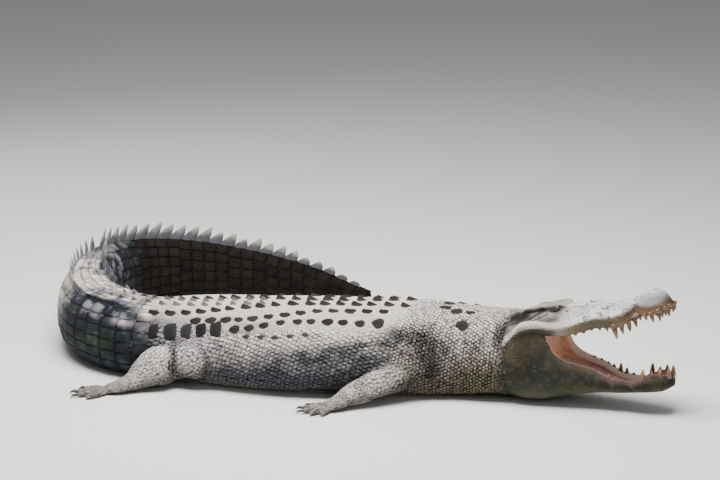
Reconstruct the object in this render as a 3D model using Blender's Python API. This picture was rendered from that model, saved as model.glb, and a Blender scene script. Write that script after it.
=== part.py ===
"""Life-size resting saltwater crocodile, mouth open, tail curled back behind the body.

Metres, +Z up, +X towards the head. Every length along the animal is measured from the jaw hinge:
"along" runs backwards down the spine to the tail tip, "ahead" runs forwards to the snout.
"side" is the distance to the animal's right (+) or left (-) of its spine.
"""

import math

import bmesh
import bpy
import numpy as np
from mathutils import Vector

# Driving dimensions
headLength = 0.583        # jaw hinge to snout tip, on the ground plane
neckLength = 0.30
bodyEnd = 1.34            # jaw hinge to the root of the tail
tailTip = 3.64            # jaw hinge to the tip of the tail
hingeX, hingeY = 0.6135, -0.613   # where the jaw hinge stands on the floor
gap = 0.0003              # clearance between two pieces that touch
whorl = 0.0555            # spacing of the tail's rings of scutes
crestStart = 1.45         # first raised scute of the tail
crestMerge = 2.42         # the two crests run into one here
tailCuts = (1.34, 1.79, 2.24, 2.7, 3.17)
eyeRadius = 0.0165
eyeAhead, eyeSide, eyeHeight = 0.17, 0.078, 0.353
toothSides = 4
limbSides = 8
toeSides = 5


def profile(*knots):
    """A smooth curve through (position, value) knots that never swings past them."""
    at = np.array([k[0] for k in knots], float)
    value = np.array([k[1] for k in knots], float)
    step = np.diff(at)
    rise = np.diff(value) / step
    slope = np.zeros(len(at))
    both = rise[:-1] * rise[1:]
    slope[1:-1] = np.where(both > 0, 2 * both / (rise[:-1] + rise[1:] + 1e-12), 0)
    slope[0], slope[-1] = rise[0], rise[-1]

    def read(t):
        t = np.clip(np.asarray(t, float), at[0], at[-1])
        i = np.clip(np.searchsorted(at, t, "right") - 1, 0, len(step) - 1)
        u = (t - at[i]) / step[i]
        return (
            value[i] * (1 + 2 * u) * (1 - u) ** 2
            + slope[i] * step[i] * u * (1 - u) ** 2
            + value[i + 1] * u * u * (3 - 2 * u)
            + slope[i + 1] * step[i] * u * u * (u - 1)
        )

    return read


# The spine's plan: compass heading, in degrees, as one walks from the head to the tail tip
heading = profile(
    (0, 156), (0.18, 163), (0.5, 165), (0.75, 168), (0.95, 172), (1.12, 175), (1.22, 174),
    (1.37, 164), (1.54, 141), (1.7, 118), (1.86, 103), (2.06, 93), (2.26, 84), (2.45, 65),
    (2.64, 37), (2.83, 12), (3.02, -4), (3.28, -11), (3.64, -13),
)
# The trunk, neck and tail in section
halfWidth = profile(
    (0, 0.157), (0.08, 0.17), (0.2, 0.182), (0.34, 0.224), (0.45, 0.24), (0.6, 0.28), (0.82, 0.3),
    (1.02, 0.276), (1.18, 0.226), (1.34, 0.18), (1.6, 0.152), (1.8, 0.137), (2.05, 0.115),
    (2.45, 0.08), (2.95, 0.049), (3.35, 0.027), (3.64, 0.009),
)
topHeight = profile(
    (0, 0.323), (0.15, 0.318), (0.36, 0.318), (0.6, 0.305), (0.82, 0.295), (1.05, 0.284),
    (1.25, 0.276), (1.5, 0.28), (1.8, 0.29), (2.15, 0.286), (2.5, 0.266), (2.92, 0.218),
    (3.32, 0.145), (3.64, 0.04),
)
waistHeight = profile(
    (0, 0.125), (0.36, 0.12), (0.82, 0.112), (1.34, 0.125), (2.0, 0.125), (2.95, 0.085), (3.64, 0.018)
)
topPower = profile((0, 2.3), (0.4, 2.4), (1.2, 2.3), (1.6, 2.7), (2.4, 2.3), (3.64, 2.0))
bellyPower = profile((0, 2.4), (0.5, 2.9), (1.1, 2.9), (1.6, 2.3), (3.64, 2.0))
crestSide = profile((1.34, 0.098), (1.8, 0.075), (2.15, 0.045), (2.42, 0.004), (3.64, 0.003))
crestHeight = profile(
    (1.4, 0.0), (1.5, 0.014), (1.85, 0.036), (2.2, 0.062), (2.6, 0.074), (3.15, 0.058), (3.5, 0.03), (3.64, 0.012)
)

# The upper head seen from the side: height of its midline, its side ridge and its lip
crownHeight = profile(
    (0, 0.322), (0.05, 0.33), (0.11, 0.345), (0.15, 0.353), (0.175, 0.357), (0.215, 0.362), (0.26, 0.37),
    (0.3, 0.384), (0.34, 0.394), (0.4, 0.402), (0.435, 0.412), (0.467, 0.437), (0.5, 0.457), (0.53, 0.453),
    (0.56, 0.438), (0.583, 0.416),
)
ridgeSide = profile(
    (0, 0.08), (0.04, 0.088), (0.11, 0.083), (0.17, 0.073), (0.23, 0.052), (0.33, 0.037), (0.5, 0.036),
    (0.55, 0.03), (0.583, 0.01),
)
ridgeHeight = profile(
    (0, 0.312), (0.04, 0.327), (0.075, 0.343), (0.11, 0.352), (0.15, 0.364), (0.175, 0.369), (0.2, 0.364),
    (0.235, 0.36), (0.28, 0.374), (0.32, 0.393), (0.42, 0.402), (0.46, 0.426), (0.5, 0.448), (0.55, 0.438),
    (0.583, 0.414),
)
lipHeight = profile(
    (0, 0.2), (0.037, 0.232), (0.066, 0.256), (0.113, 0.273), (0.168, 0.258), (0.218, 0.262),
    (0.276, 0.278), (0.324, 0.298), (0.365, 0.305), (0.4, 0.312), (0.425, 0.32), (0.445, 0.336),
    (0.466, 0.367), (0.49, 0.361), (0.52, 0.368), (0.552, 0.385), (0.583, 0.403),
)
upperWidth = profile(
    (0, 0.155), (0.05, 0.16), (0.11, 0.154), (0.17, 0.138), (0.22, 0.121), (0.28, 0.105),
    (0.33, 0.096), (0.375, 0.094), (0.41, 0.099), (0.44, 0.09), (0.466, 0.069), (0.5, 0.073),
    (0.53, 0.075), (0.56, 0.064), (0.575, 0.047), (0.583, 0.024),
)
# The lower jaw: rim, mouth floor, underside and width
rimHeight = profile(
    (0.15, 0.26), (0.17, 0.218), (0.19, 0.191), (0.228, 0.17), (0.26, 0.162), (0.315, 0.15),
    (0.35, 0.135), (0.4, 0.118), (0.459, 0.117), (0.49, 0.127), (0.52, 0.143), (0.545, 0.152), (0.597, 0.148),
)
floorHeight = profile(
    (0.13, 0.272), (0.145, 0.225), (0.17, 0.17), (0.22, 0.136), (0.3, 0.115), (0.4, 0.096), (0.47, 0.102),
    (0.54, 0.132), (0.597, 0.136),
)
chinHeight = profile((0, 0.0), (0.1, 0.0), (0.16, 0.012), (0.24, 0.036), (0.35, 0.055), (0.49, 0.07), (0.56, 0.082), (0.597, 0.105))
lowerWidth = profile(
    (0, 0.157), (0.06, 0.16), (0.11, 0.153), (0.17, 0.137), (0.26, 0.112), (0.33, 0.095), (0.4, 0.084),
    (0.45, 0.077), (0.5, 0.076), (0.53, 0.068), (0.56, 0.057), (0.585, 0.038), (0.597, 0.016),
)
headTilt = profile((-0.24, 0.0), (-0.12, 0.045), (0, 0.105), (0.1, 0.105))   # rise per metre to the right
mouthBack = 0.13          # the jaws are one behind this, where the throat closes
cheekFront = 0.15         # the cheek skin joins the two jaws up to here

# Teeth of one side: (ahead of the hinge, length), the same on the other side
upperTeeth = (
    (0.2, 0.01), (0.222, 0.012), (0.244, 0.014), (0.268, 0.018), (0.292, 0.02), (0.316, 0.016),
    (0.34, 0.016), (0.364, 0.022), (0.394, 0.042), (0.42, 0.032), (0.441, 0.016), (0.5, 0.022),
    (0.522, 0.03), (0.545, 0.036), (0.565, 0.028), (0.576, 0.022),
)
lowerTeeth = (
    (0.27, 0.012), (0.3, 0.014), (0.328, 0.018), (0.355, 0.028), (0.38, 0.024), (0.405, 0.014),
    (0.432, 0.014), (0.462, 0.014), (0.497, 0.038), (0.528, 0.016), (0.556, 0.022), (0.583, 0.03),
)

# Each leg as knots of (back from its anchor, out from the spine, height, half width, half height),
# the last two of them in the foot
foreAnchor, hindAnchor = 0.33, 1.05
legs = {
    "foreleg_right": (
        (-0.05, 0.1, 0.135, 0.06, 0.07), (0.02, 0.17, 0.115, 0.062, 0.066), (0.076, 0.222, 0.093, 0.058, 0.061),
        (0.146, 0.292, 0.07, 0.05, 0.049), (0.214, 0.348, 0.044, 0.04, 0.036), (0.25, 0.378, 0.024, 0.042, 0.022),
        (0.285, 0.405, 0.016, 0.032, 0.014),
    ),
    "foreleg_left": (
        (-0.05, 0.1, 0.135, 0.06, 0.07), (0.02, 0.17, 0.115, 0.062, 0.066), (0.07, 0.235, 0.093, 0.058, 0.061),
        (0.104, 0.315, 0.07, 0.05, 0.049), (0.1, 0.39, 0.044, 0.04, 0.036), (0.08, 0.43, 0.024, 0.042, 0.022),
        (0.055, 0.465, 0.016, 0.032, 0.014),
    ),
    "hindleg_right": (
        (-0.08, 0.1, 0.145, 0.07, 0.08), (0.04, 0.158, 0.122, 0.082, 0.09), (0.148, 0.186, 0.108, 0.075, 0.085),
        (0.218, 0.19, 0.095, 0.055, 0.068), (0.281, 0.214, 0.083, 0.07, 0.078), (0.334, 0.235, 0.058, 0.062, 0.058),
        (0.372, 0.256, 0.035, 0.05, 0.035), (0.415, 0.276, 0.022, 0.052, 0.021), (0.459, 0.295, 0.015, 0.04, 0.014),
    ),
    "hindleg_left": (
        (-0.08, 0.1, 0.145, 0.07, 0.08), (0.02, 0.17, 0.122, 0.082, 0.09), (0.08, 0.25, 0.108, 0.075, 0.085),
        (0.13, 0.305, 0.095, 0.055, 0.068), (0.18, 0.345, 0.08, 0.066, 0.074), (0.22, 0.38, 0.056, 0.06, 0.056),
        (0.25, 0.415, 0.035, 0.05, 0.035), (0.275, 0.455, 0.022, 0.052, 0.021), (0.295, 0.498, 0.015, 0.04, 0.014),
    ),
}
# Toes as (spread angle in degrees, length, has a claw), from the inner side
fingers = ((-42, 0.055, True), (-20, 0.078, True), (0, 0.085, True), (20, 0.078, False), (42, 0.06, False))
toes = ((-27, 0.088, True), (-9, 0.115, True), (9, 0.12, True), (27, 0.105, False))

# How dark and rough the skin of each piece is
hide = ((0.42, 0.39, 0.34), 0.75)
paleHide = ((0.55, 0.51, 0.45), 0.75)
horn = ((0.10, 0.085, 0.07), 0.4)
eyeColour = ((0.16, 0.12, 0.05), 0.1)
flesh = ((0.72, 0.42, 0.33), 0.5)


def clearScene():
    for item in list(bpy.data.objects):
        bpy.data.objects.remove(item)


def walkSpine():
    """Points of the spine every 5 mm, from 5 cm ahead of the hinge to the tail tip."""
    step = 0.005
    along = np.arange(0, tailTip + step, step)
    angle = np.radians(heading(along + step / 2))
    x = hingeX + np.concatenate([[0], np.cumsum(np.cos(angle) * step)[:-1]])
    y = hingeY + np.concatenate([[0], np.cumsum(np.sin(angle) * step)[:-1]])
    return along, x, y


spineAlong, spineX, spineY = walkSpine()


def place(along, side, height, lowest=0.0):
    """The world point at this distance along the spine, to its right and above the floor."""
    angle = math.radians(float(heading(max(along, 0))))
    x = float(np.interp(along, spineAlong, spineX)) + min(along, 0) * math.cos(angle)
    y = float(np.interp(along, spineAlong, spineY)) + min(along, 0) * math.sin(angle)
    height += side * float(headTilt(-along))
    return Vector((x - side * math.sin(angle), y + side * math.cos(angle), max(height, lowest)))


def beside(anchor, back, out, height):
    """The world point behind and to the right of one station, square to the spine there."""
    angle = math.radians(float(heading(anchor)))
    return place(anchor, out, height) + Vector((math.cos(angle), math.sin(angle), 0)) * back


def material(name, look):
    made = bpy.data.materials.new(name)
    made.use_nodes = True
    shader = made.node_tree.nodes["Principled BSDF"]
    shader.inputs["Base Color"].default_value = (*look[0], 1)
    shader.inputs["Roughness"].default_value = look[1]
    shader.inputs["Metallic"].default_value = 0
    return made


def solid(name, rings, look=hide, helper=False):
    """A closed body through rings of points, with a flat face over each end."""
    mesh = bmesh.new()
    rows = [[mesh.verts.new(point) for point in ring] for ring in rings]
    around = len(rows[0])
    for near, far in zip(rows[:-1], rows[1:]):
        for i in range(around):
            j = (i + 1) % around
            mesh.faces.new((near[i], near[j], far[j]))
            mesh.faces.new((near[i], far[j], far[i]))
    mesh.faces.new(rows[0])
    mesh.faces.new(rows[-1])
    bmesh.ops.remove_doubles(mesh, verts=mesh.verts, dist=1e-5)
    bmesh.ops.recalc_face_normals(mesh, faces=mesh.faces)
    data = bpy.data.meshes.new(name)
    mesh.to_mesh(data)
    mesh.free()
    data.shade_smooth()
    data.set_sharp_from_angle(angle=math.radians(50))
    made = bpy.data.objects.new(name, data)
    bpy.context.scene.collection.objects.link(made)
    made.data.materials.append(material(name, look))
    if helper:
        hideHelper(made)
    return made


def hideHelper(item):
    item.hide_render = True
    item.display_type = "WIRE"


def combine(target, other, operation):
    """A Boolean of the target with a hidden helper."""
    cut = target.modifiers.new(operation.title(), "BOOLEAN")
    cut.operation = operation
    cut.object = other
    cut.solver = "EXACT"
    return target


def mirrored(half):
    """A full ring from the points of its right half, the first and last on the midline."""
    return half + [(-side, height) for side, height in reversed(half[1:-1])]


def bodySection(along, grow=0.0):
    """(side, height) round the body at one station, with the tail's crest as two peaks."""
    width = float(halfWidth(along)) + grow
    top = float(topHeight(along)) + grow
    waist = float(waistHeight(along))
    upper, lower = 2 / float(topPower(along)), 2 / float(bellyPower(along))
    half = []
    for turn in np.radians((0, 24, 45, 66, 90, 116, 140, 161, 180)):
        power = upper if turn < math.pi / 2 else lower
        reach = width * abs(math.sin(turn)) ** power
        rise = abs(math.cos(turn)) ** power
        height = waist + (top - waist) * rise if turn < math.pi / 2 else waist * (1 - 1.06 * rise) - grow
        half.append((reach, height))
    half[0], half[-1] = (0.0, half[0][1]), (0.0, half[-1][1])
    return half, top, waist, width, upper


def heightOver(side, top, waist, width, power):
    """Height of the back at this distance from the midline."""
    return waist + (top - waist) * max(0.0, 1 - (side / width) ** (2 / power)) ** (power / 2)


def bodyRing(along, grow=0.0):
    half = bodySection(along, grow)[0]
    return [place(along, side, height, -5 * grow) for side, height in mirrored(half)]


def tailRing(along, peak):
    """A tail ring of 14 points. peak is 1 at the tip of a scute and 0 between two."""
    half, top, waist, width, power = bodySection(along)
    side = float(crestSide(along))
    rise = float(crestHeight(along)) * (0.3 + 0.7 * peak)
    single = float(np.clip((0.03 - side) / 0.02, 0, 1))
    outer = side + 0.012 * (1 - single) + 0.006
    foot = min(outer + 0.012, 0.8 * width)
    crest = [
        (0.0, top + rise * single),
        (side, heightOver(side, top, waist, width, power) + rise),
        (foot, heightOver(foot, top, waist, width, power)),
    ]
    below = [point for point in half[3:] if point[0] > foot or point[1] < waist]
    below = below[-6:]
    ring = crest + below[1:]
    return [place(along, side, height) for side, height in mirrored(ring)]


def lengthBetween(start, end, spacing):
    count = max(2, round((end - start) / spacing) + 1)
    return np.linspace(start + gap / 2, end - gap / 2, count)


def makeNeckAndTrunk():
    solid("neck", [bodyRing(s) for s in lengthBetween(0, neckLength, 0.05)])
    solid("trunk", [bodyRing(s) for s in lengthBetween(neckLength, bodyEnd, 0.055)])


def makeTail():
    """Lengths of tail, each cut through a hollow between two scutes of the crest."""
    ends = [*tailCuts, tailTip]
    for number, (start, end) in enumerate(zip(ends[:-1], ends[1:]), 1):
        count = 2 * max(1, round((end - start) / whorl))
        stations = np.linspace(start + gap / 2, end - gap / 2, count + 1)
        rings = [tailRing(s, i % 2) for i, s in enumerate(stations)]
        solid(f"tail_{number}", rings)


def neckSideAt(height):
    """Half width of the neck's front end at this height."""
    top, waist, width = float(topHeight(0)), float(waistHeight(0)), float(halfWidth(0))
    if height >= waist:
        share, power = (height - waist) / (top - waist), float(topPower(0))
    else:
        share, power = (waist - height) / waist, float(bellyPower(0))
    return width * max(0.0, 1 - min(share, 1.0) ** power) ** (1 / power)


def meetNeck(half, ahead):
    """Rings near the hinge take on the neck's outline."""
    keep = float(np.clip(ahead / 0.07, 0, 1))
    keep = keep * keep * (3 - 2 * keep)
    outer = [
        (side + (1 - keep) * (min(neckSideAt(height), side * 1.3) - side), height)
        for side, height in half
    ]
    return outer


def upperHalf(ahead):
    """Right half of the upper head's section, crown to palate."""
    crown, ridge = float(crownHeight(ahead)), float(ridgeHeight(ahead))
    lip, width = float(lipHeight(ahead)), float(upperWidth(ahead))
    inner = float(ridgeSide(ahead))
    arch = 0.02 * float(np.clip((ahead - mouthBack) / 0.06, 0, 1)) * min(1, (0.6 - ahead) / 0.05)
    shoulder = inner + 0.45 * (width - inner)
    half = [
        (0.0, crown),
        (inner, ridge),
        (shoulder, lip + 0.66 * (ridge - lip)),
        (0.97 * width, lip + 0.42 * (ridge - lip)),
        (width, lip + 0.2 * (ridge - lip)),
        (0.95 * width, lip),
        (0.72 * width, lip + 0.3 * arch),
        (0.0, lip + arch),
    ]
    return [half[0]] + meetNeck(half[1:6], ahead) + half[6:]


def lowerHalf(ahead):
    """Right half of the lower jaw's section, underside to mouth floor."""
    chin, width = float(chinHeight(ahead)), float(lowerWidth(ahead))
    joined = ahead < cheekFront
    rim = float(lipHeight(ahead)) - gap if joined else min(float(rimHeight(ahead)), float(lipHeight(ahead)) - gap)
    floor = float(lipHeight(ahead)) - gap if ahead <= mouthBack else min(float(floorHeight(ahead)), rim - 0.004)
    tall = rim - chin
    wall = 0.72 if ahead <= mouthBack else 1 - 0.026 / width if width > 0.07 else 0.6
    half = [
        (0.0, chin),
        (0.55 * width, chin + 0.02 * tall),
        (0.86 * width, chin + 0.16 * tall),
        (width, chin + 0.5 * tall),
        (0.985 * width, chin + 0.82 * tall),
        (0.95 * width, rim),
        (wall * width, rim - (0.0 if ahead <= mouthBack else 0.003)),
        (0.5 * width, floor if ahead <= mouthBack else floor + 0.12 * (rim - floor)),
        (0.0, floor),
    ]
    return [half[0]] + meetNeck(half[1:6], ahead) + half[6:]


headStations = (
    0, 0.02, 0.045, 0.075, 0.105, 0.13, 0.14, 0.15, 0.162, 0.176, 0.192, 0.22, 0.25, 0.285, 0.32, 0.355,
    0.385, 0.41, 0.43, 0.45, 0.467, 0.483, 0.508, 0.53, 0.553, 0.572, 0.583,
)


def headRings(half, stations):
    first = gap / 2
    return [[place(-max(a, first), side, height) for side, height in mirrored(half(a))] for a in stations]


def toothRings(root, direction, length, radius):
    """A bent cone, sunk a little into the gum."""
    direction = direction.normalized()
    across = Vector((direction.y, -direction.x, 0))
    across = across.normalized() if across.length > 1e-4 else Vector((1, 0, 0))
    over = direction.cross(across)
    rings = []
    for share, size in ((-0.35, 1.0), (0.35, 0.9), (1.0, 0.12)):
        middle = root + direction * length * share
        ring = []
        for i in range(toothSides):
            turn = 2 * math.pi * i / toothSides
            ring.append(middle + (across * math.cos(turn) + over * math.sin(turn)) * radius * size)
        rings.append(ring)
    return rings


def makeTeeth(name, teeth, widthOf, heightOf, lean, up):
    """All teeth of one jaw as one helper, to be joined to that jaw."""
    mesh = bmesh.new()
    for ahead, length in teeth:
        for hand in (1, -1):
            side = hand * (float(widthOf(ahead)) * 0.93 - 0.008)
            root = place(-ahead, side, float(heightOf(ahead)) + (0.001 if not up else -0.002))
            front = place(-ahead - 1, side, 0) - place(-ahead, side, 0)
            outward = place(-ahead, side + hand, 0) - place(-ahead, side, 0)
            direction = Vector((0, 0, 1 if up else -1)) + front * lean + outward * 0.12
            rings = toothRings(root, direction, length, 0.0035 + 0.11 * length)
            rows = [[mesh.verts.new(point) for point in ring] for ring in rings]
            for near, far in zip(rows[:-1], rows[1:]):
                for i in range(toothSides):
                    j = (i + 1) % toothSides
                    mesh.faces.new((near[i], near[j], far[j], far[i]))
            mesh.faces.new(rows[0])
            mesh.faces.new(rows[-1])
    bmesh.ops.recalc_face_normals(mesh, faces=mesh.faces)
    data = bpy.data.meshes.new(name)
    mesh.to_mesh(data)
    mesh.free()
    made = bpy.data.objects.new(name, data)
    bpy.context.scene.collection.objects.link(made)
    hideHelper(made)
    return made


def makeTongue():
    """A broad pad lying 1 mm above the floor of the mouth."""
    stations = np.linspace(0.155, 0.435, 9)
    rings = []
    for ahead in stations:
        floor, width = float(floorHeight(ahead)), float(lowerWidth(ahead))
        rim = min(float(rimHeight(ahead)), float(lipHeight(ahead)) - gap)
        floor = min(floor, rim - 0.004)
        share = (ahead - 0.15) / 0.29
        half = width * 0.46 * min(1, 0.75 + share, 2.2 * (1.03 - share))
        side = floor + 0.12 * (rim - floor) * half / (0.5 * width) + 0.001
        thick = 0.014 * min(1, 0.3 + 3 * share, 4 * (1.06 - share))
        ring = [(0.0, floor + thick + 0.002), (0.7 * half, side + thick), (half, side + 0.4 * thick), (half, side), (0.0, floor + 0.001)]
        rings.append([place(-ahead, s, z) for s, z in mirrored(ring)])
    solid("tongue", rings, flesh)


def ball(name, centre, radius, look=None):
    mesh = bmesh.new()
    bmesh.ops.create_uvsphere(mesh, u_segments=10, v_segments=6, radius=radius)
    data = bpy.data.meshes.new(name)
    mesh.to_mesh(data)
    mesh.free()
    data.shade_smooth()
    made = bpy.data.objects.new(name, data)
    made.location = centre
    bpy.context.scene.collection.objects.link(made)
    if look:
        made.data.materials.append(material(name, look))
    else:
        hideHelper(made)
    return made


def makeHead():
    head = solid("head", headRings(upperHalf, headStations))
    jawStations = [*headStations[:-1], 0.586, 0.597]
    jaw = solid("lower_jaw", headRings(lowerHalf, jawStations))
    upper = makeTeeth("upper_teeth_tool", upperTeeth, upperWidth, lipHeight, 0.3, False)
    lower = makeTeeth("lower_teeth_tool", lowerTeeth, lowerWidth, rimHeight, 0.04, True)
    makeTongue()
    combine(head, upper, "UNION")
    combine(jaw, lower, "UNION")
    for name, hand in (("right", 1), ("left", -1)):
        centre = place(-eyeAhead, hand * eyeSide, eyeHeight)
        combine(head, ball(f"socket_{name}_tool", centre, eyeRadius + 0.0005), "DIFFERENCE")
        ball(f"eye_{name}", centre, eyeRadius, eyeColour)


def limbRings(knots, anchor, hand, spacing=0.034):
    """Rings round a leg, square to its own line, flattened where they meet the floor."""
    places = np.array([beside(anchor, back, hand * out, z) for back, out, z, _, _ in knots])
    reach = np.concatenate([[0], np.cumsum(np.linalg.norm(np.diff(places, axis=0), axis=1))])
    girth = np.array(knots)[:, 3:].T
    curves = [profile(*zip(reach, column)) for column in (*places.T, *girth)]
    stations = [*np.arange(0, reach[-3] - 0.6 * spacing, spacing), *reach[-3:]]
    rings = []
    for at in stations:
        middle = Vector([float(c(at)) for c in curves[:3]])
        later = Vector([float(c(min(at + 0.01, reach[-1]))) for c in curves[:3]])
        early = Vector([float(c(max(at - 0.01, 0))) for c in curves[:3]])
        forward = (later - early).normalized()
        across = forward.cross(Vector((0, 0, 1))).normalized()
        upward = across.cross(forward)
        wide, tall = float(curves[3](at)), float(curves[4](at))
        ring = []
        for i in range(limbSides):
            turn = 2 * math.pi * (i + 0.5) / limbSides
            point = middle + across * wide * math.cos(turn) + upward * tall * math.sin(turn)
            ring.append(Vector((point.x, point.y, max(point.z, 0.0))))
        rings.append(ring)
    return rings


def digitRings(root, aim, length, radius, steps):
    """Rings along a toe or claw: each step is (share of the length, share of the radius, height)."""
    across = aim.cross(Vector((0, 0, 1))).normalized()
    rings = []
    for share, size, height in steps:
        middle = root + aim * length * share + Vector((0, 0, height))
        ring = []
        for i in range(toeSides):
            turn = 2 * math.pi * (i + 0.25) / toeSides
            rise = Vector((0, 0, 0.88 * radius * size * math.sin(turn)))
            point = middle + across * radius * size * math.cos(turn) + rise
            ring.append(Vector((point.x, point.y, max(point.z, 0.0))))
        rings.append(ring)
    return rings


toeSteps = ((-0.1, 1.0, 0.016), (0.42, 0.85, 0.013), (0.6, 0.98, 0.013), (0.84, 0.72, 0.011), (1.0, 0.6, 0.011))
clawSteps = ((0, 1, 0.0105), (0.5, 0.7, 0.0112), (1.0, 0.12, 0.0035))


def digitLines(anchor, paw, hand, digits):
    """Root, direction and length of every toe, fanned out from the end of the foot."""
    start = beside(anchor, paw[0][0], hand * paw[0][1], 0)
    end = beside(anchor, paw[1][0], hand * paw[1][1], 0)
    aim = (end - start).normalized()
    lines = []
    for spread, length, _ in digits:
        turn = math.radians(spread) * hand
        turned = Vector((
            aim.x * math.cos(turn) - aim.y * math.sin(turn), aim.x * math.sin(turn) + aim.y * math.cos(turn), 0
        ))
        lines.append((start + (end - start) * 0.35, turned, length + 0.03))
    return lines


def webPlate(name, lines):
    """The skin between the toes, 5 mm thick, as a fan from the foot."""
    root, middle, _ = lines[len(lines) // 2]
    outline = [root - middle * 0.01] + [start + aim * length * 0.5 for start, aim, length in lines]
    rings = [[Vector((p.x, p.y, z)) for p in outline] for z in (0.006, 0.011)]
    return solid(name, rings, helper=True)


def makeLeg(name, body):
    """One leg, its foot and its claws. The leg stops at the body's surface."""
    kind, side = name.split("leg_")
    hand = 1 if side == "right" else -1
    anchor, digits, stout = (foreAnchor, fingers, 0.0115) if kind == "fore" else (hindAnchor, toes, 0.0135)
    knots = legs[name]
    rings = limbRings(knots, anchor, hand)
    combine(solid(name, rings[:-2]), body, "DIFFERENCE")
    ankle = [point + (rings[-2][0] - rings[-3][0]).normalized() * gap for point in rings[-3]]
    foot = solid(f"{kind}foot_{side}", [ankle, *rings[-2:]], paleHide)
    lines = digitLines(anchor, knots[-2:], hand, digits)
    for number, (root, aim, length) in enumerate(lines, 1):
        toe = digitRings(root, aim, length, stout, toeSteps)
        combine(foot, solid(f"{kind}_{side}_toe_{number}_tool", toe, helper=True), "UNION")
        if digits[number - 1][2]:
            claw = digitRings(root + aim * (length + gap), aim, 0.026, stout * 0.5, clawSteps)
            solid(f"{kind}claw_{side}_{number}", claw, horn)
    combine(foot, webPlate(f"{kind}_{side}_web_tool", lines), "UNION")


def makeLegs():
    stations = [*lengthBetween(0, neckLength, 0.05), *lengthBetween(neckLength, bodyEnd, 0.055)]
    stations += [*np.linspace(bodyEnd + 0.03, 1.7, 10)]
    body = solid("body_tool", [bodyRing(s, 0.001) for s in stations], helper=True)
    for name in legs:
        makeLeg(name, body)


clearScene()
makeNeckAndTrunk()
makeTail()
makeHead()
makeLegs()
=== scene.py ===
import math

import bmesh
import bpy
import numpy as np
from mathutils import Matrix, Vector
from mathutils.bvhtree import BVHTree
from mathutils.kdtree import KDTree


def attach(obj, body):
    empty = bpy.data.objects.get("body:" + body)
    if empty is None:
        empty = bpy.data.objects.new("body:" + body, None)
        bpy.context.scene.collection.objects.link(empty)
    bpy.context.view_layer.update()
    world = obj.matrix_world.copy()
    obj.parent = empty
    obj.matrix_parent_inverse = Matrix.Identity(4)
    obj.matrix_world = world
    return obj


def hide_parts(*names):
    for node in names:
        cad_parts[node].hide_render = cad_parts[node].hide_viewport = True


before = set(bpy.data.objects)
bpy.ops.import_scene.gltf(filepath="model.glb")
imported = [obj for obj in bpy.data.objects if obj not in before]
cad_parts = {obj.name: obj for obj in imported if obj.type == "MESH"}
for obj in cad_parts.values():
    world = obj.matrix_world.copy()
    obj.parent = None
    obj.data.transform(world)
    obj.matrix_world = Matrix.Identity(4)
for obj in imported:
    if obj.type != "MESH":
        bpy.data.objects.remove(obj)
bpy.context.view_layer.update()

# A basking saltwater crocodile, life size: one skin, its scales, teeth, tongue, eyes and claws.
# "along" runs back down the spine from the jaw hinge, "ahead" runs forward to the snout,
# "side" is the distance to the animal's right of its spine. Lengths are in metres, but the long tables
# of shapes (measured profiles, legs, folds, strokes and patches) are in millimetres.

rng = np.random.default_rng(23)


def profile(*knots):
    # a smooth curve through (position, value) knots that never swings past them
    at = np.array([k[0] for k in knots], float)
    value = np.array([k[1] for k in knots], float)
    step = np.diff(at)
    rise = np.diff(value) / step
    slope = np.zeros(len(at))
    both = rise[:-1] * rise[1:]
    slope[1:-1] = np.where(both > 0, 2 * both / (rise[:-1] + rise[1:] + 1e-12), 0)
    slope[0], slope[-1] = rise[0], rise[-1]

    def read(t):
        t = np.clip(np.asarray(t, float), at[0], at[-1])
        i = np.clip(np.searchsorted(at, t, "right") - 1, 0, len(step) - 1)
        u = (t - at[i]) / step[i]
        return (value[i] * (1 + 2 * u) * (1 - u) ** 2 + slope[i] * step[i] * u * (1 - u) ** 2
                + value[i + 1] * u * u * (3 - 2 * u) + slope[i + 1] * step[i] * u * u * (u - 1))

    return read


def measured(*knots):
    # the same for knots in millimetres
    return profile(*((at / 1000, value / 1000) for at, value in knots))


def ease(low, high, value):
    t = np.clip((value - low) / (high - low), 0, 1)
    return t * t * (3 - 2 * t)


def blend(base, other, share):
    base = np.asarray(base)
    return base + (np.asarray(other) - base) * np.asarray(share)[..., None]


def unit(v):
    return v / np.linalg.norm(v, axis=-1, keepdims=True)


def circle(count):
    # angles round a ring, shaped to spread over rings of points
    return np.linspace(0, 2 * math.pi, count, endpoint=False)[None, :, None]


def treeOf(places):
    tree = KDTree(len(places))
    for i, point in enumerate(places):
        tree.insert(point, i)
    tree.balance()
    return tree


upright = np.array([0.0, 0.0, 1.0])


# the animal's own measures, the same as the solids under it

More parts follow.
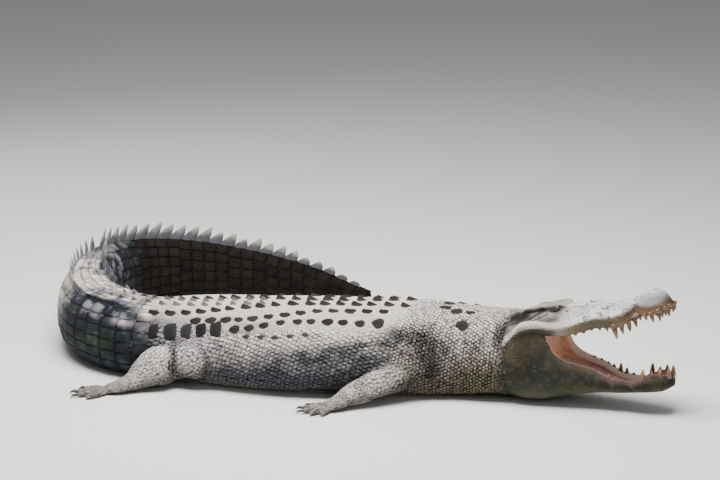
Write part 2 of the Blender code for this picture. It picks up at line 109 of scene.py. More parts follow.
body = {
    "hinge": (0.6135, -0.613), "neckEnd": 0.30, "tailStart": 1.34, "tailTip": 3.64,
    "heading": profile((0, 156), (0.18, 163), (0.5, 165), (0.75, 168), (0.95, 172), (1.12, 175),
        (1.22, 174), (1.37, 164), (1.54, 141), (1.7, 118), (1.86, 103), (2.06, 93), (2.26, 84),
        (2.45, 65), (2.64, 37), (2.83, 12), (3.02, -4), (3.28, -11), (3.64, -13)),
    "halfWidth": measured((0, 157), (80, 170), (200, 182), (340, 224), (450, 240), (600, 280), (820, 300),
        (1020, 276), (1180, 226), (1340, 180), (1600, 152), (1800, 137), (2050, 115), (2450, 80),
        (2950, 49), (3350, 27), (3640, 9)),
    "top": measured((0, 323), (150, 318), (360, 318), (600, 305), (820, 295), (1050, 284), (1250, 276),
        (1500, 280), (1800, 290), (2150, 286), (2500, 266), (2920, 218), (3320, 145), (3640, 40)),
    "waist": measured((0, 125), (360, 120), (820, 112), (1340, 125), (2000, 125), (2950, 85), (3640, 18)),
    "topPower": profile((0, 2.3), (0.4, 2.4), (1.2, 2.3), (1.6, 2.7), (2.4, 2.3), (3.64, 2.0)),
    "bellyPower": profile((0, 2.4), (0.5, 2.9), (1.1, 2.9), (1.6, 2.3), (3.64, 2.0)),
    "crestSide": measured((1340, 98), (1800, 75), (2150, 45), (2420, 4), (3640, 3)),
    "crestHeight": measured((1400, 0), (1500, 14), (1850, 36), (2200, 62), (2600, 74), (3150, 58),
        (3500, 30), (3640, 12)),
    "tilt": profile((-0.24, 0.0), (-0.12, 0.045), (0, 0.105), (0.1, 0.105)),
}

head = {
    "crown": measured((0, 322), (50, 330), (110, 345), (150, 353), (175, 357), (215, 362), (260, 370),
        (300, 384), (340, 394), (400, 402), (435, 412), (467, 437), (500, 457), (530, 453), (560, 438),
        (583, 416)),
    "ridgeSide": measured((0, 80), (40, 88), (110, 83), (170, 73), (230, 52), (330, 37), (500, 36),
        (550, 30), (583, 10)),
    "ridge": measured((0, 312), (40, 327), (75, 343), (110, 352), (150, 364), (175, 369), (200, 364),
        (235, 360), (280, 374), (320, 393), (420, 402), (460, 426), (500, 448), (550, 438), (583, 414)),
    "lip": measured((0, 200), (37, 232), (66, 256), (113, 273), (168, 258), (218, 262), (276, 278),
        (324, 298), (365, 305), (400, 312), (425, 320), (445, 336), (466, 367), (490, 361), (520, 368),
        (552, 385), (583, 403)),
    "upperWidth": measured((0, 155), (50, 160), (110, 154), (170, 138), (220, 121), (280, 105), (330, 96),
        (375, 94), (410, 99), (440, 90), (466, 69), (500, 73), (530, 75), (560, 64), (575, 47), (583, 24)),
    "rim": measured((150, 260), (170, 218), (190, 191), (228, 170), (260, 162), (315, 150), (350, 135),
        (400, 118), (459, 117), (490, 127), (520, 143), (545, 152), (597, 148)),
    "floor": measured((130, 272), (145, 225), (170, 170), (220, 136), (300, 115), (400, 96), (470, 102),
        (540, 132), (597, 136)),
    "chin": measured((0, 0), (100, 0), (160, 12), (240, 36), (350, 55), (490, 70), (560, 82), (597, 105)),
    "lowerWidth": measured((0, 157), (60, 160), (110, 153), (170, 137), (260, 112), (330, 95), (400, 84),
        (450, 77), (500, 76), (530, 68), (560, 57), (585, 38), (597, 16)),
    "snoutTip": 0.583, "chinTip": 0.597, "mouthBack": 0.13, "cheekFront": 0.15,
}

# each leg as knots of (back from its anchor, out from the spine, height, half width, half height)
legs = {
    "foreRight": {"anchor": 0.33, "hand": 1, "knots": (
        (-50, 100, 135, 60, 70), (20, 170, 115, 62, 66), (76, 222, 93, 58, 61), (146, 292, 70, 50, 49),
        (214, 348, 44, 40, 36), (250, 378, 24, 42, 22), (285, 405, 16, 32, 14))},
    "foreLeft": {"anchor": 0.33, "hand": -1, "knots": (
        (-50, 100, 135, 60, 70), (20, 170, 115, 62, 66), (70, 235, 93, 58, 61), (104, 315, 70, 50, 49),
        (100, 390, 44, 40, 36), (80, 430, 24, 42, 22), (55, 465, 16, 32, 14))},
    "hindRight": {"anchor": 1.05, "hand": 1, "knots": (
        (-80, 100, 145, 70, 80), (40, 158, 122, 82, 90), (148, 186, 108, 75, 85), (218, 190, 95, 55, 68),
        (281, 214, 83, 70, 78), (334, 235, 58, 62, 58), (372, 256, 35, 50, 35), (415, 276, 22, 52, 21),
        (459, 295, 15, 40, 14))},
    "hindLeft": {"anchor": 1.05, "hand": -1, "knots": (
        (-80, 100, 145, 70, 80), (20, 170, 122, 82, 90), (80, 250, 108, 75, 85), (130, 305, 95, 55, 68),
        (180, 345, 80, 66, 74), (220, 380, 56, 60, 56), (250, 415, 35, 50, 35), (275, 455, 22, 52, 21),
        (295, 498, 15, 40, 14))},
}

# digits as (spread in degrees, length, has a claw), from the inner side
digits = {
    "fore": {"radius": 0.0115, "list": (
        (-42, 0.055, True), (-20, 0.078, True), (0, 0.085, True), (20, 0.078, False), (42, 0.06, False))},
    "hind": {"radius": 0.0135, "list": (
        (-27, 0.088, True), (-9, 0.115, True), (9, 0.12, True), (27, 0.105, False))},
}

spineStep = 0.005
spineAlong = np.arange(0, body["tailTip"] + spineStep, spineStep)
spineTurn = np.radians(body["heading"](spineAlong + spineStep / 2))
spineX = body["hinge"][0] + np.concatenate([[0], np.cumsum(np.cos(spineTurn) * spineStep)[:-1]])
spineY = body["hinge"][1] + np.concatenate([[0], np.cumsum(np.sin(spineTurn) * spineStep)[:-1]])


def place(along, side, height):
    along, side, height = np.broadcast_arrays(*(np.asarray(v, float) for v in (along, side, height)))
    turn = np.radians(body["heading"](np.maximum(along, 0)))
    x = np.interp(along, spineAlong, spineX) + np.minimum(along, 0) * np.cos(turn)
    y = np.interp(along, spineAlong, spineY) + np.minimum(along, 0) * np.sin(turn)
    lift = height + side * body["tilt"](-along)
    return np.stack((x - side * np.sin(turn), y + side * np.cos(turn), lift), -1)


batch = 20000     # points compared at a time, to spare memory


def readPlace(points):
    # along, side and height of any points, from the nearest place on the spine
    marks = np.arange(-0.64, body["tailTip"], 0.01)
    line = place(marks, 0, 0)[:, :2].astype(np.float32)
    nearest = np.empty(len(points), int)
    for first in range(0, len(points), batch):
        part = points[first:first + batch, None, :2].astype(np.float32)
        nearest[first:first + batch] = ((part - line[None]) ** 2).sum(-1).argmin(1)
    along = marks[nearest]
    turn = np.radians(body["heading"](np.maximum(along, 0)))
    delta = points[:, :2] - line[nearest]
    side = -delta[:, 0] * np.sin(turn) + delta[:, 1] * np.cos(turn)
    along = along + delta[:, 0] * np.cos(turn) + delta[:, 1] * np.sin(turn)
    return along, side, points[:, 2] - side * body["tilt"](-along)


bellyFlat = 1.06     # the belly's curve is cut off level by the floor


def bodyOutline(along, turn, inset):
    # side and height round the body; turn 0 is the back's midline and pi the belly's
    width, top, waist = body["halfWidth"](along) - inset, body["top"](along) - inset, body["waist"](along)
    above = np.cos(turn) > 0
    power = 2 / np.where(above, body["topPower"](along), body["bellyPower"](along))
    side = np.sign(np.sin(turn)) * width * np.abs(np.sin(turn)) ** power
    rise = np.abs(np.cos(turn)) ** power
    fromCrest = (np.abs(side) - body["crestSide"](along)) / 0.015
    ridge = 0.2 * body["crestHeight"](along) * np.exp(-(fromCrest ** 2))
    height = np.where(above, waist + (top - waist) * rise + ridge, waist * (1 - bellyFlat * rise))
    return side, np.maximum(height, inset)


# plain mesh tools

def meshFrom(name, points, polygons):
    made = bpy.data.meshes.new(name)
    made.vertices.add(len(points))
    made.vertices.foreach_set("co", np.ascontiguousarray(points, np.float32).ravel())
    sizes = np.array([len(p) for p in polygons])
    corners = np.fromiter((v for p in polygons for v in p), int, sizes.sum())
    fillPolygons(made, corners, sizes)
    return made


def fillPolygons(made, corners, sizes):
    made.loops.add(len(corners))
    made.loops.foreach_set("vertex_index", corners.astype(np.int32))
    made.polygons.add(len(sizes))
    made.polygons.foreach_set("loop_start", np.concatenate([[0], np.cumsum(sizes)[:-1]]).astype(np.int32))
    made.update(calc_edges=True)
    made.shade_smooth()


def loft(rings):
    # a closed body through rings of points, with a fan over each end
    count, around, _ = rings.shape
    points = np.concatenate([rings.reshape(-1, 3), rings[:1].mean(1), rings[-1:].mean(1)])
    polygons = []
    for i in range(count - 1):
        for j in range(around):
            k = (j + 1) % around
            polygons.append((i * around + j, (i + 1) * around + j, (i + 1) * around + k, i * around + k))
    first, last = count * around, count * around + 1
    for j in range(around):
        k = (j + 1) % around
        polygons.append((j, k, first))
        polygons.append(((count - 1) * around + k, (count - 1) * around + j, last))
    return points, polygons


def joinShapes(shapes):
    points, polygons, offset = [], [], 0
    for shapePoints, shapePolygons in shapes:
        points.append(shapePoints)
        polygons.extend(tuple(v + offset for v in p) for p in shapePolygons)
        offset += len(shapePoints)
    return np.concatenate(points), polygons


def turnOut(made):
    # faces look outwards
    work = bmesh.new()
    work.from_mesh(made)
    bmesh.ops.recalc_face_normals(work, faces=work.faces)
    work.to_mesh(made)
    work.free()


def addPiece(name, made, finish):
    piece = bpy.data.objects.new(name, made)
    bpy.context.scene.collection.objects.link(piece)
    made.materials.append(finish)
    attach(piece, "root")
    return piece


def paint(made, tones, name="marking"):
    # tones are red, green, blue and wetness for every point
    layer = made.color_attributes.new(name, "FLOAT_COLOR", "POINT")
    layer.data.foreach_set("color", np.ascontiguousarray(tones, np.float32).ravel())


def paintAll(made, tones, wet):
    paint(made, np.column_stack((tones, np.full(len(tones), wet))))


def solidFrom(name, shapes):
    # one mesh of many closed shapes, with its faces looking outwards
    points, faces = joinShapes(shapes)
    made = meshFrom(name, points, faces)
    turnOut(made)
    return made, points


# the shapes that the skin is welded from

def bodyRings(along, turn):
    # the body's outline at each of these stations, as far in as the scales need
    inset = np.minimum(skinLook["bodyInset"], 0.3 * body["halfWidth"](along))
    return bodyOutline(along[:, None], turn[None], inset[:, None])


def bodyShape():
    along = np.arange(0, body["tailTip"] + 0.003, 0.006)
    side, height = bodyRings(along, np.linspace(0, 2 * math.pi, 144, endpoint=False))
    return loft(place(along[:, None], side, height))


def roundOff(ring):
    # a smoother closed ring through the same points
    pull = 0.05
    for _ in range(3):
        before, after, beyond = (np.roll(ring, k, 0) for k in (1, -1, -2))
        middle = (0.5 + pull) * (ring + after) - pull * (before + beyond)
        ring = np.stack((ring, middle), 1).reshape(-1, 2)
    return ring


def neckSideAt(height):
    top, waist, width = (float(body[k](0)) for k in ("top", "waist", "halfWidth"))
    if height >= waist:
        share, power = (height - waist) / (top - waist), float(body["topPower"](0))
    else:
        share, power = (waist - height) / waist, float(body["bellyPower"](0))
    return width * max(0.0, 1 - min(share, 1.0) ** power) ** (1 / power)


def meetNeck(half, ahead):
    keep = float(ease(0, 0.07, ahead))
    return [(side + (1 - keep) * (min(neckSideAt(height), side * 1.3) - side), height)
            for side, height in half]


def read(name, ahead):
    return float(head[name](ahead))


def upperHalf(ahead):
    ridge, lip, width, inner = (read(k, ahead) for k in ("ridge", "lip", "upperWidth", "ridgeSide"))
    opened = float(np.clip((ahead - head["mouthBack"]) / 0.06, 0, 1))
    arch = 0.02 * opened * min(1, (0.6 - ahead) / 0.05)     # the palate's vault
    tall = ridge - lip
    outer = [(inner, ridge), (inner + 0.45 * (width - inner), lip + 0.66 * tall),
             (0.97 * width, lip + 0.42 * tall), (width, lip + 0.2 * tall), (0.95 * width, lip)]
    palate = [(0.72 * width, lip + 0.3 * arch), (0.0, lip + arch)]
    return [(0.0, read("crown", ahead))] + meetNeck(outer, ahead) + palate


def lowerHalf(ahead):
    chin, width, lip = (read(k, ahead) for k in ("chin", "lowerWidth", "lip"))
    joined = ahead <= head["mouthBack"]
    rim = lip if ahead < head["cheekFront"] else min(read("rim", ahead), lip)
    floor = lip if joined else min(read("floor", ahead), rim - 0.004)
    tall = rim - chin
    wall = 0.72 if joined else 1 - 0.026 / width if width > 0.07 else 0.6
    outer = [(0.55 * width, chin + 0.02 * tall), (0.86 * width, chin + 0.16 * tall),
             (width, chin + 0.5 * tall), (0.985 * width, chin + 0.82 * tall), (0.95 * width, rim)]
    inner = [(wall * width, rim - (0 if joined else 0.003)),
             (0.5 * width, floor if joined else floor + 0.12 * (rim - floor)), (0.0, floor)]
    return [(0.0, chin)] + meetNeck(outer, ahead) + inner


def headShape(half, tip):
    rings, inset = [], skinLook["headInset"]
    for ahead in [*np.arange(-0.03, tip, 0.004), tip]:
        points = half(max(ahead, 0))
        ring = roundOff(np.array(points + [(-s, h) for s, h in reversed(points[1:-1])]))
        middle = ring.mean(0)
        size = np.maximum(np.ptp(ring, 0) / 2, 0.01)
        ring = middle + (ring - middle) * (1 - inset / size)
        rings.append(place(-ahead, ring[:, 0], np.maximum(ring[:, 1], inset)))
    return loft(np.array(rings))


def backAt(along):
    # the direction of the tail at this station
    angle = math.radians(float(body["heading"](along)))
    return np.array([math.cos(angle), math.sin(angle), 0])


def legLine(leg):
    # the leg's own line: places, half widths, half heights, and how far along it each one is
    back = backAt(leg["anchor"])
    knots = np.array(leg["knots"]) / 1000
    places = place(leg["anchor"], leg["hand"] * knots[:, 1], knots[:, 2]) + back * knots[:, :1]
    reach = np.concatenate([[0], np.cumsum(np.linalg.norm(np.diff(places, axis=0), axis=1))])
    curves = [profile(*zip(reach, column)) for column in (*places.T, *knots[:, 3:].T)]
    at = np.arange(0, reach[-1], 0.006)
    middle = np.stack([c(at) for c in curves[:3]], -1)
    forward = unit(np.gradient(middle, axis=0))
    return {"at": at, "middle": middle, "forward": forward, "wide": curves[3](at), "tall": curves[4](at),
            "ankle": reach[-3]}


def legShape(leg):
    line = leg["line"]
    across = unit(np.cross(line["forward"], upright))
    upward = np.cross(across, line["forward"])
    turn = circle(40)
    swell = 0.95 - 0.03 / (1 + 60 * np.abs(line["wide"]))[:, None, None]
    ring = line["middle"][:, None] + swell * (
        across[:, None] * line["wide"][:, None, None] * np.cos(turn)
        + upward[:, None] * line["tall"][:, None, None] * np.sin(turn))
    ring[..., 2] = np.maximum(ring[..., 2], 0.003)
    return loft(ring)


def digitLines(leg, kind):
    back = backAt(leg["anchor"])
    knots = np.array(leg["knots"][-2:]) / 1000
    paw = place(leg["anchor"], leg["hand"] * knots[:, 1], 0) + back * knots[:, :1]
    aim = unit(paw[1] - paw[0])
    lines = []
    for spread, length, clawed in digits[kind]["list"]:
        turn = math.radians(spread) * leg["hand"]
        turned = np.array([aim[0] * math.cos(turn) - aim[1] * math.sin(turn),
                           aim[0] * math.sin(turn) + aim[1] * math.cos(turn), 0])
        root = paw[0] + (paw[1] - paw[0]) * 0.35
        lines.append({"root": root, "aim": turned, "length": length + 0.03, "clawed": clawed})
    return lines


digitSize = profile((-0.1, 1.0), (0.25, 0.94), (0.42, 0.84), (0.6, 0.98), (0.72, 0.84), (0.84, 0.76),
    (0.93, 0.68), (0.985, 0.5), (1.0, 0.3))
digitLift = profile((-0.1, 0.016), (0.42, 0.012), (0.6, 0.0125), (0.84, 0.0105), (1.0, 0.0105))


def alongDigit(line, reach, share, lift, size, flat, count):
    # rings along one digit or claw; flat gives how wide and how tall they are for their size
    across = np.array([line["aim"][1], -line["aim"][0], 0])
    turn = circle(count)
    middle = line["root"] + line["aim"] * reach[:, None] + upright * lift(share)[:, None]
    swing = across * flat[0] * np.cos(turn) + upright * flat[1] * np.sin(turn)
    return middle[:, None] + size[:, None, None] * swing


def digitShape(line, radius):
    share = np.linspace(-0.1, 1.0, 30)
    reach, size = line["length"] * share, radius * digitSize(share)
    ring = alongDigit(line, reach, share, digitLift, size, (1, 0.86), 20)
    ring[..., 2] = np.maximum(ring[..., 2], 0.002)
    return loft(ring)


def webShape(lines):
    root, middle = lines[0]["root"], lines[len(lines) // 2]["aim"]
    edge = [root - middle * 0.01]
    for near, far in zip(lines[:-1], lines[1:]):
        edge.append(near["root"] + near["aim"] * near["length"] * 0.56)
        scoop = near["aim"] * near["length"] + far["aim"] * far["length"]
        edge.append(near["root"] + scoop * 0.235)
    edge.append(lines[-1]["root"] + lines[-1]["aim"] * lines[-1]["length"] * 0.56)
    return loft(np.array([[(p[0], p[1], z) for p in edge] for z in (0.003, 0.0105)]))


skinLook = {
    "voxel": 0.0048, "smoothing": 4,
    "bodyInset": 0.0045, "headInset": 0.0016,      # room for the scales
    "finer": 2,                     # extra divisions round the eyes
}


def weldSkin():
    shapes = [bodyShape(), headShape(upperHalf, head["snoutTip"]), headShape(lowerHalf, head["chinTip"])]
    headTrue = joinShapes(shapes[1:3])
    for name, leg in legs.items():
        leg["line"] = legLine(leg)
        leg["digits"] = digitLines(leg, name[:4])
        shapes.append(legShape(leg))
        shapes.append(webShape(leg["digits"]))
        shapes += [digitShape(line, digits[name[:4]]["radius"]) for line in leg["digits"]]
    made = meshFrom("skinRaw", *joinShapes(shapes))
    raw = bpy.data.objects.new("skinRaw", made)
    bpy.context.scene.collection.objects.link(raw)
    weld = raw.modifiers.new("weld", "REMESH")
    weld.mode = "VOXEL"
    weld.voxel_size = skinLook["voxel"]
    soften = raw.modifiers.new("soften", "SMOOTH")
    soften.factor, soften.iterations = 0.5, skinLook["smoothing"]
    whole = bpy.data.meshes.new_from_object(raw.evaluated_get(bpy.context.evaluated_depsgraph_get()))
    bpy.data.objects.remove(raw)
    return whole, headTrue


def refineHead(made):
    # the head gets twice the detail of the body, and the eyes twice that again
    work = bmesh.new()
    work.from_mesh(made)
    for level in range(skinLook["finer"]):
        work.verts.ensure_lookup_table()
        points = np.array([v.co for v in work.verts])
        along, side, height = readPlace(points)
        if level == 0:
            inside = along < -0.005
        else:
            inside = (along < -0.13) & (along > -0.215) & (height > 0.318)
            inside &= np.abs(np.abs(side) - 0.08) < 0.035
        edges = [e for e in work.edges if inside[e.verts[0].index] and inside[e.verts[1].index]]
        bmesh.ops.subdivide_edges(work, edges=edges, cuts=1, use_grid_fill=True)
        work.verts.index_update()
    work.to_mesh(made)
    work.free()


def pointsOf(made):
    points = np.empty(len(made.vertices) * 3)
    made.vertices.foreach_get("co", points)
    return points.reshape(-1, 3)


def normalsOf(made):
    normals = np.empty(len(made.vertices) * 3)
    made.vertices.foreach_get("normal", normals)
    return normals.reshape(-1, 3)


def settleHead(made, headTrue):
    # the welded head returns to its own finer outline
    points = pointsOf(made)
    tree = BVHTree.FromPolygons(headTrue[0].tolist(), headTrue[1])
    along = readPlace(points)[0]
    for i in np.flatnonzero(along < -0.03):
        spot = tree.find_nearest(points[i], 0.007)[0]
        if spot is not None:
            points[i] = points[i] + 0.85 * (np.array(spot) - points[i])
    made.vertices.foreach_set("co", points.astype(np.float32).ravel())
    made.update()


# folds and ridges as (path of (along, side, height), width, depth); a positive depth stands out
folds = [
    # brow, ear flap and the grooves behind the eye
    (((-130, 70, 352), (-155, 76, 366), (-185, 72, 366), (-205, 62, 360)), 9, 2.5),
    (((-145, 40, 360), (-175, 38, 365), (-205, 35, 362)), 20, -4.5),
    (((-138, 91, 349), (-152, 87, 353)), 6, -6),
    (((-190, 71, 361), (-200, 55, 363), (-219, 42, 362), (-250, 42, 365), (-280, 45, 372)), 5, -4.5),
    (((-45, 98, 322), (-80, 100, 334), (-120, 96, 344), (-138, 92, 348)), 5.5, -6.5),
    (((-50, 85, 335), (-90, 85, 348), (-125, 80, 356)), 9, 3),
    (((-92, 132, 310), (-109, 113, 326), (-124, 102, 336), (-140, 94, 345)), 5.5, -6),
    (((-105, 145, 306), (-114, 137, 312), (-130, 121, 322), (-151, 105, 332)), 5, -5),
    (((-140, 135, 310), (-165, 124, 314), (-188, 108, 320)), 11, -6),
    (((-200, 118, 305), (-240, 100, 312), (-280, 88, 325)), 8, -3),
    # the pale bar that carries the lip back to the hinge, and the corner of the mouth below it
    (((-2, 152, 212), (-30, 156, 246), (-67, 158, 280), (-104, 155, 297), (-140, 146, 300),
      (-175, 137, 290), (-210, 127, 282)), 12.5, 7),
    (((-18, 158, 196), (-50, 163, 235), (-85, 162, 262), (-130, 152, 276)), 9, -8.5),
    (((-50, 163, 205), (-90, 163, 235), (-140, 150, 252)), 8, -4),
    (((-160, 142, 235), (-175, 139, 200), (-200, 134, 178)), 7, 4),
    # the crease between jaw and neck
    (((-35, 60, 325), (-12, 85, 300), (1, 112, 275), (7, 130, 250), (10, 152, 200), (6, 160, 150),
      (0, 163, 100), (-30, 158, 60), (-70, 150, 30)), 8.5, -9.5),
    (((20, 100, 310), (35, 140, 270), (50, 165, 200), (50, 175, 120), (40, 160, 50)), 16, 5),
    # ridges down the snout, the raised nose disc and the nostrils
    (((-200, 52, 366), (-250, 44, 372), (-300, 40, 387)), 7, 3),
    (((-225, 0, 362), (-250, 0, 368), (-275, 0, 374)), 30, 7),
    (((-310, 20, 390), (-335, 20, 397), (-365, 20, 400)), 30, -6.5),
    (((-200, 70, 350), (-260, 60, 362), (-330, 53, 382)), 9, -4),
    (((-300, 0, 390), (-420, 0, 408)), 12, -3),
    (((-500, 22, 458), (-525, 30, 455), (-550, 20, 448)), 12, 4),
    (((-520, 12, 459), (-533, 19, 457), (-540, 16, 455)), 4.5, -9),
    (((-452, 60, 420), (-462, 70, 390), (-466, 70, 372)), 9, -4),
    (((-350, 90, 345), (-400, 92, 352), (-430, 85, 362)), 16, 4),
    (((-250, 108, 310), (-290, 100, 325), (-330, 90, 340)), 12, 3),
    # the lower jaw
    (((-80, 162, 140), (-200, 135, 120), (-320, 100, 100), (-460, 80, 90)), 11, -3.5),
    (((-60, 160, 80), (-180, 130, 55), (-300, 97, 62), (-440, 75, 78)), 9, -3),
    (((-100, 160, 190), (-200, 137, 150), (-300, 106, 135)), 12, 3),
    (((-460, 80, 100), (-500, 80, 105), (-550, 64, 120)), 14, 3),
    # loose skin of the neck
    (((90, 120, 295), (100, 170, 240), (105, 185, 150), (100, 175, 60)), 11, -5),
    (((140, 130, 290), (155, 176, 230), (160, 188, 140), (155, 178, 60)), 12, -5.5),
    (((200, 135, 285), (215, 184, 220), (220, 195, 130), (210, 185, 60)), 13, -6),
    # in front of the shoulder, under the arm and behind it
    (((268, 150, 285), (262, 190, 240), (258, 205, 170), (265, 208, 100), (275, 205, 50)), 14, -15),
    (((310, 160, 280), (335, 200, 240), (345, 220, 200)), 30, 10),
    (((385, 215, 235), (420, 238, 180), (470, 255, 120), (530, 270, 70)), 12, -9),
    (((440, 225, 225), (480, 250, 175), (540, 270, 125), (620, 285, 80)), 14, -6),
    (((520, 250, 200), (570, 268, 160), (640, 283, 120), (720, 293, 85)), 15, -5),
    (((620, 270, 190), (680, 284, 150), (760, 295, 110)), 16, -4.5),
    (((550, 276, 62), (750, 294, 60), (950, 278, 60), (1080, 255, 65)), 12, -6),
    # the thigh and its crease
    (((1000, 262, 170), (1060, 250, 200), (1140, 232, 205), (1220, 215, 195), (1262, 210, 180)), 10, -5),
    (((1275, 200, 175), (1270, 222, 150), (1264, 237, 125), (1261, 244, 90), (1260, 234, 50)), 11.5, -19),
]


def strokeGaps(points, path, width, fineness):
    # for a path drawn on each side of the body: the points near it, and how many widths away they are
    width = width / 1000
    for hand in (1, -1):
        marks = np.array(path) / 1000 * (1, hand, 1)
        stations = np.linspace(0, len(marks) - 1, fineness * len(marks))
        line = place(*(np.interp(stations, range(len(marks)), column) for column in marks.T))
        low, high = line.min(0) - 3 * width, line.max(0) + 3 * width
        near = np.flatnonzero(((points > low) & (points < high)).all(1))
        gap = np.full(len(near), 9.0)
        for start, end in zip(line[:-1], line[1:]):
            run = end - start
            share = np.clip(((points[near] - start) @ run) / max(run @ run, 1e-12), 0, 1)
            gap = np.minimum(gap, np.linalg.norm(points[near] - start - share[:, None] * run, axis=1))
        yield near, gap / width


def sculpt(made):
    points, normals = pointsOf(made), normalsOf(made)
    move = np.zeros(len(points))
    for path, width, depth in folds:
        for near, gap in strokeGaps(points, path, width, 6):
            move[near] += depth / 1000 * np.exp(-(gap ** 2))
    points += normals * move[:, None]
    # soft unevenness of flesh over the whole body
    waves = (22, 31, 43, 60)
    swell = sum(np.sin(points @ rng.normal(0, wave, 3) + rng.uniform(0, 6)) for wave in waves) / len(waves)
    points += normals * (0.0013 * swell)[:, None]
    points[:, 2] = np.maximum(points[:, 2], 0.002)
    made.vertices.foreach_set("co", points.astype(np.float32).ravel())
    made.update()


skinMesh, headTrue = weldSkin()
print("skin welded:", len(skinMesh.polygons), "faces")
refineHead(skinMesh)
settleHead(skinMesh, headTrue)
sculpt(skinMesh)
turnOut(skinMesh)
skinMesh.shade_smooth()
print("skin sculpted:", len(skinMesh.polygons), "faces")


# the markings, shared by the skin and everything that lies on it

tone = {
    "cream": (0.9, 0.835, 0.765), "flank": (0.285, 0.262, 0.255), "lowFlank": (0.062, 0.064, 0.075),
    "belly": (0.46, 0.42, 0.33), "neck": (0.6, 0.53, 0.5), "lowNeck": (0.15, 0.125, 0.09),
    "shade": (0.055, 0.052, 0.052), "blueBlackAndFoldShade": (0.048, 0.056, 0.066), "lilac": (0.52, 0.48, 0.505),
    "tailSide": (0.022, 0.027, 0.035), "tailInnerShade": (0.013, 0.0105, 0.009), "tailTop": (0.58, 0.525, 0.475),
    "algae": (0.07, 0.095, 0.038), "limb": (0.62, 0.57, 0.53), "foot": (0.42, 0.38, 0.34),
    "scute": (0.034, 0.027, 0.023), "crown": (0.78, 0.755, 0.735), "cheek": (0.1, 0.085, 0.06),
    "jaw": (0.043, 0.039, 0.027), "lowJaw": (0.155, 0.15, 0.105), "bar": (0.74, 0.71, 0.66),
    "lipGold": (0.21, 0.15, 0.062), "lipOlive": (0.1, 0.088, 0.042), "lipBrown": (0.14, 0.085, 0.045),
    "gum": (0.25, 0.135, 0.05), "noseFront": (0.1, 0.06, 0.03), "lilacDark": (0.17, 0.14, 0.155),
    "throat": (0.92, 0.5, 0.32), "jawLining": (0.4, 0.17, 0.14), "palate": (0.5, 0.34, 0.22),
    "rim": (0.95, 0.88, 0.76), "headGrooveShade": (0.022, 0.018, 0.017),
    # smaller touches on the head
    "crownDust": (0.45, 0.42, 0.39), "temple": (0.34, 0.31, 0.27), "templeLow": (0.24, 0.21, 0.18),
    "templeSpot": (0.1, 0.085, 0.075), "speck": (0.14, 0.13, 0.125), "snoutSideShade": (0.42, 0.395, 0.44),
    "noseShade": (0.2, 0.185, 0.215), "notchShade": (0.05, 0.035, 0.022), "jawGreen": (0.04, 0.054, 0.05),
    "jawGold": (0.1, 0.085, 0.042), "jawDust": (0.13, 0.12, 0.105), "jawEdge": (0.2, 0.14, 0.13),
    "mouthFold": (0.16, 0.07, 0.05),
    # and on the body
    "midFlank": (0.46, 0.42, 0.395), "tailMottleAndDapple": (0.27, 0.265, 0.29), "limbCloud": (0.3, 0.275, 0.25),
    "limbUnderShade": (0.12, 0.11, 0.1), "hipPlate": (0.02, 0.021, 0.022), "crestSide": (0.16, 0.165, 0.185),
    "crestTip": (0.6, 0.56, 0.51),
}

# soft patches as (along, side, height), spread in each direction, tone and strength
patches = [
    # painted shade: blue-black patches over the flank's folds, partly dark skin
    ((530, 250, 160), (100, 200, 35), "blueBlackAndFoldShade", 0.7),
    ((840, 290, 140), (50, 200, 22), "blueBlackAndFoldShade", 0.55),
    ((765, 280, 168), (35, 200, 18), "blueBlackAndFoldShade", 0.75),
    ((735, 280, 150), (30, 200, 20), "blueBlackAndFoldShade", 0.85),
    ((675, 280, 155), (40, 200, 22), "blueBlackAndFoldShade", 0.85),
    ((640, 270, 188), (35, 200, 14), "blueBlackAndFoldShade", 0.7),
    ((585, 260, 182), (45, 200, 20), "blueBlackAndFoldShade", 0.75),
    ((530, 250, 205), (40, 200, 15), "blueBlackAndFoldShade", 0.7),
    ((480, 250, 120), (60, 200, 30), "blueBlackAndFoldShade", 0.45),
    ((345, 190, 235), (55, 70, 35), "shade", 0.9),
    ((295, 190, 200), (40, 70, 55), "shade", 1.0),
    ((270, 200, 120), (30, 80, 70), "shade", 0.95),
    ((400, 190, 240), (40, 70, 26), "shade", 0.8),
    ((225, 180, 190), (35, 70, 40), "shade", 0.55),
    ((440, 200, 210), (50, 70, 24), "blueBlackAndFoldShade", 0.75),
    ((120, 170, 200), (50, 80, 50), "shade", 0.3),
    ((22, 135, 240), (20, 50, 50), "shade", 1.0),
    ((100, 170, 80), (50, 100, 30), "algae", 0.45),
    ((1230, 230, 160), (55, 60, 30), "lilac", 0.95),
    ((1170, 230, 175), (50, 60, 20), "lilac", 0.8),
    ((1266, 240, 100), (9, 70, 60), "shade", 1.0),
    ((1240, 240, 40), (50, 70, 20), "shade", 0.7),
    ((360, 250, 70), (50, 60, 30), "shade", 0.6),
    ((1530, 150, 130), (70, 80, 45), "algae", 0.34),
    # painted light: a pale pool where the tail's outer side is lit
    ((1840, 130, 210), (90, 60, 75), "cream", 0.55),
    ((1440, 140, 220), (30, 50, 12), "cream", 0.5),
]


def cloudNoise(points, spacing, seed):
    # smooth random values, from 0 to 1, that change over about this distance
    cell = points / spacing + seed * 7.31
    base = np.floor(cell).astype(np.int64)
    part = cell - base
    part = part * part * (3 - 2 * part)
    total = np.zeros(len(points))
    for corner in range(8):
        offset = np.array([corner & 1, corner >> 1 & 1, corner >> 2])
        mixed = (base + offset) * np.array([73856093, 19349663, 83492791])
        key = (mixed[:, 0] ^ mixed[:, 1] ^ mixed[:, 2] ^ (seed * 2654435)) & 0xFFFFFF
        value = ((key * 1103515245 + 12345) & 0x7FFFFFFF) / 0x7FFFFFFF
        weight = np.where(offset == 1, part, 1 - part).prod(1)
        total += value * weight
    return total


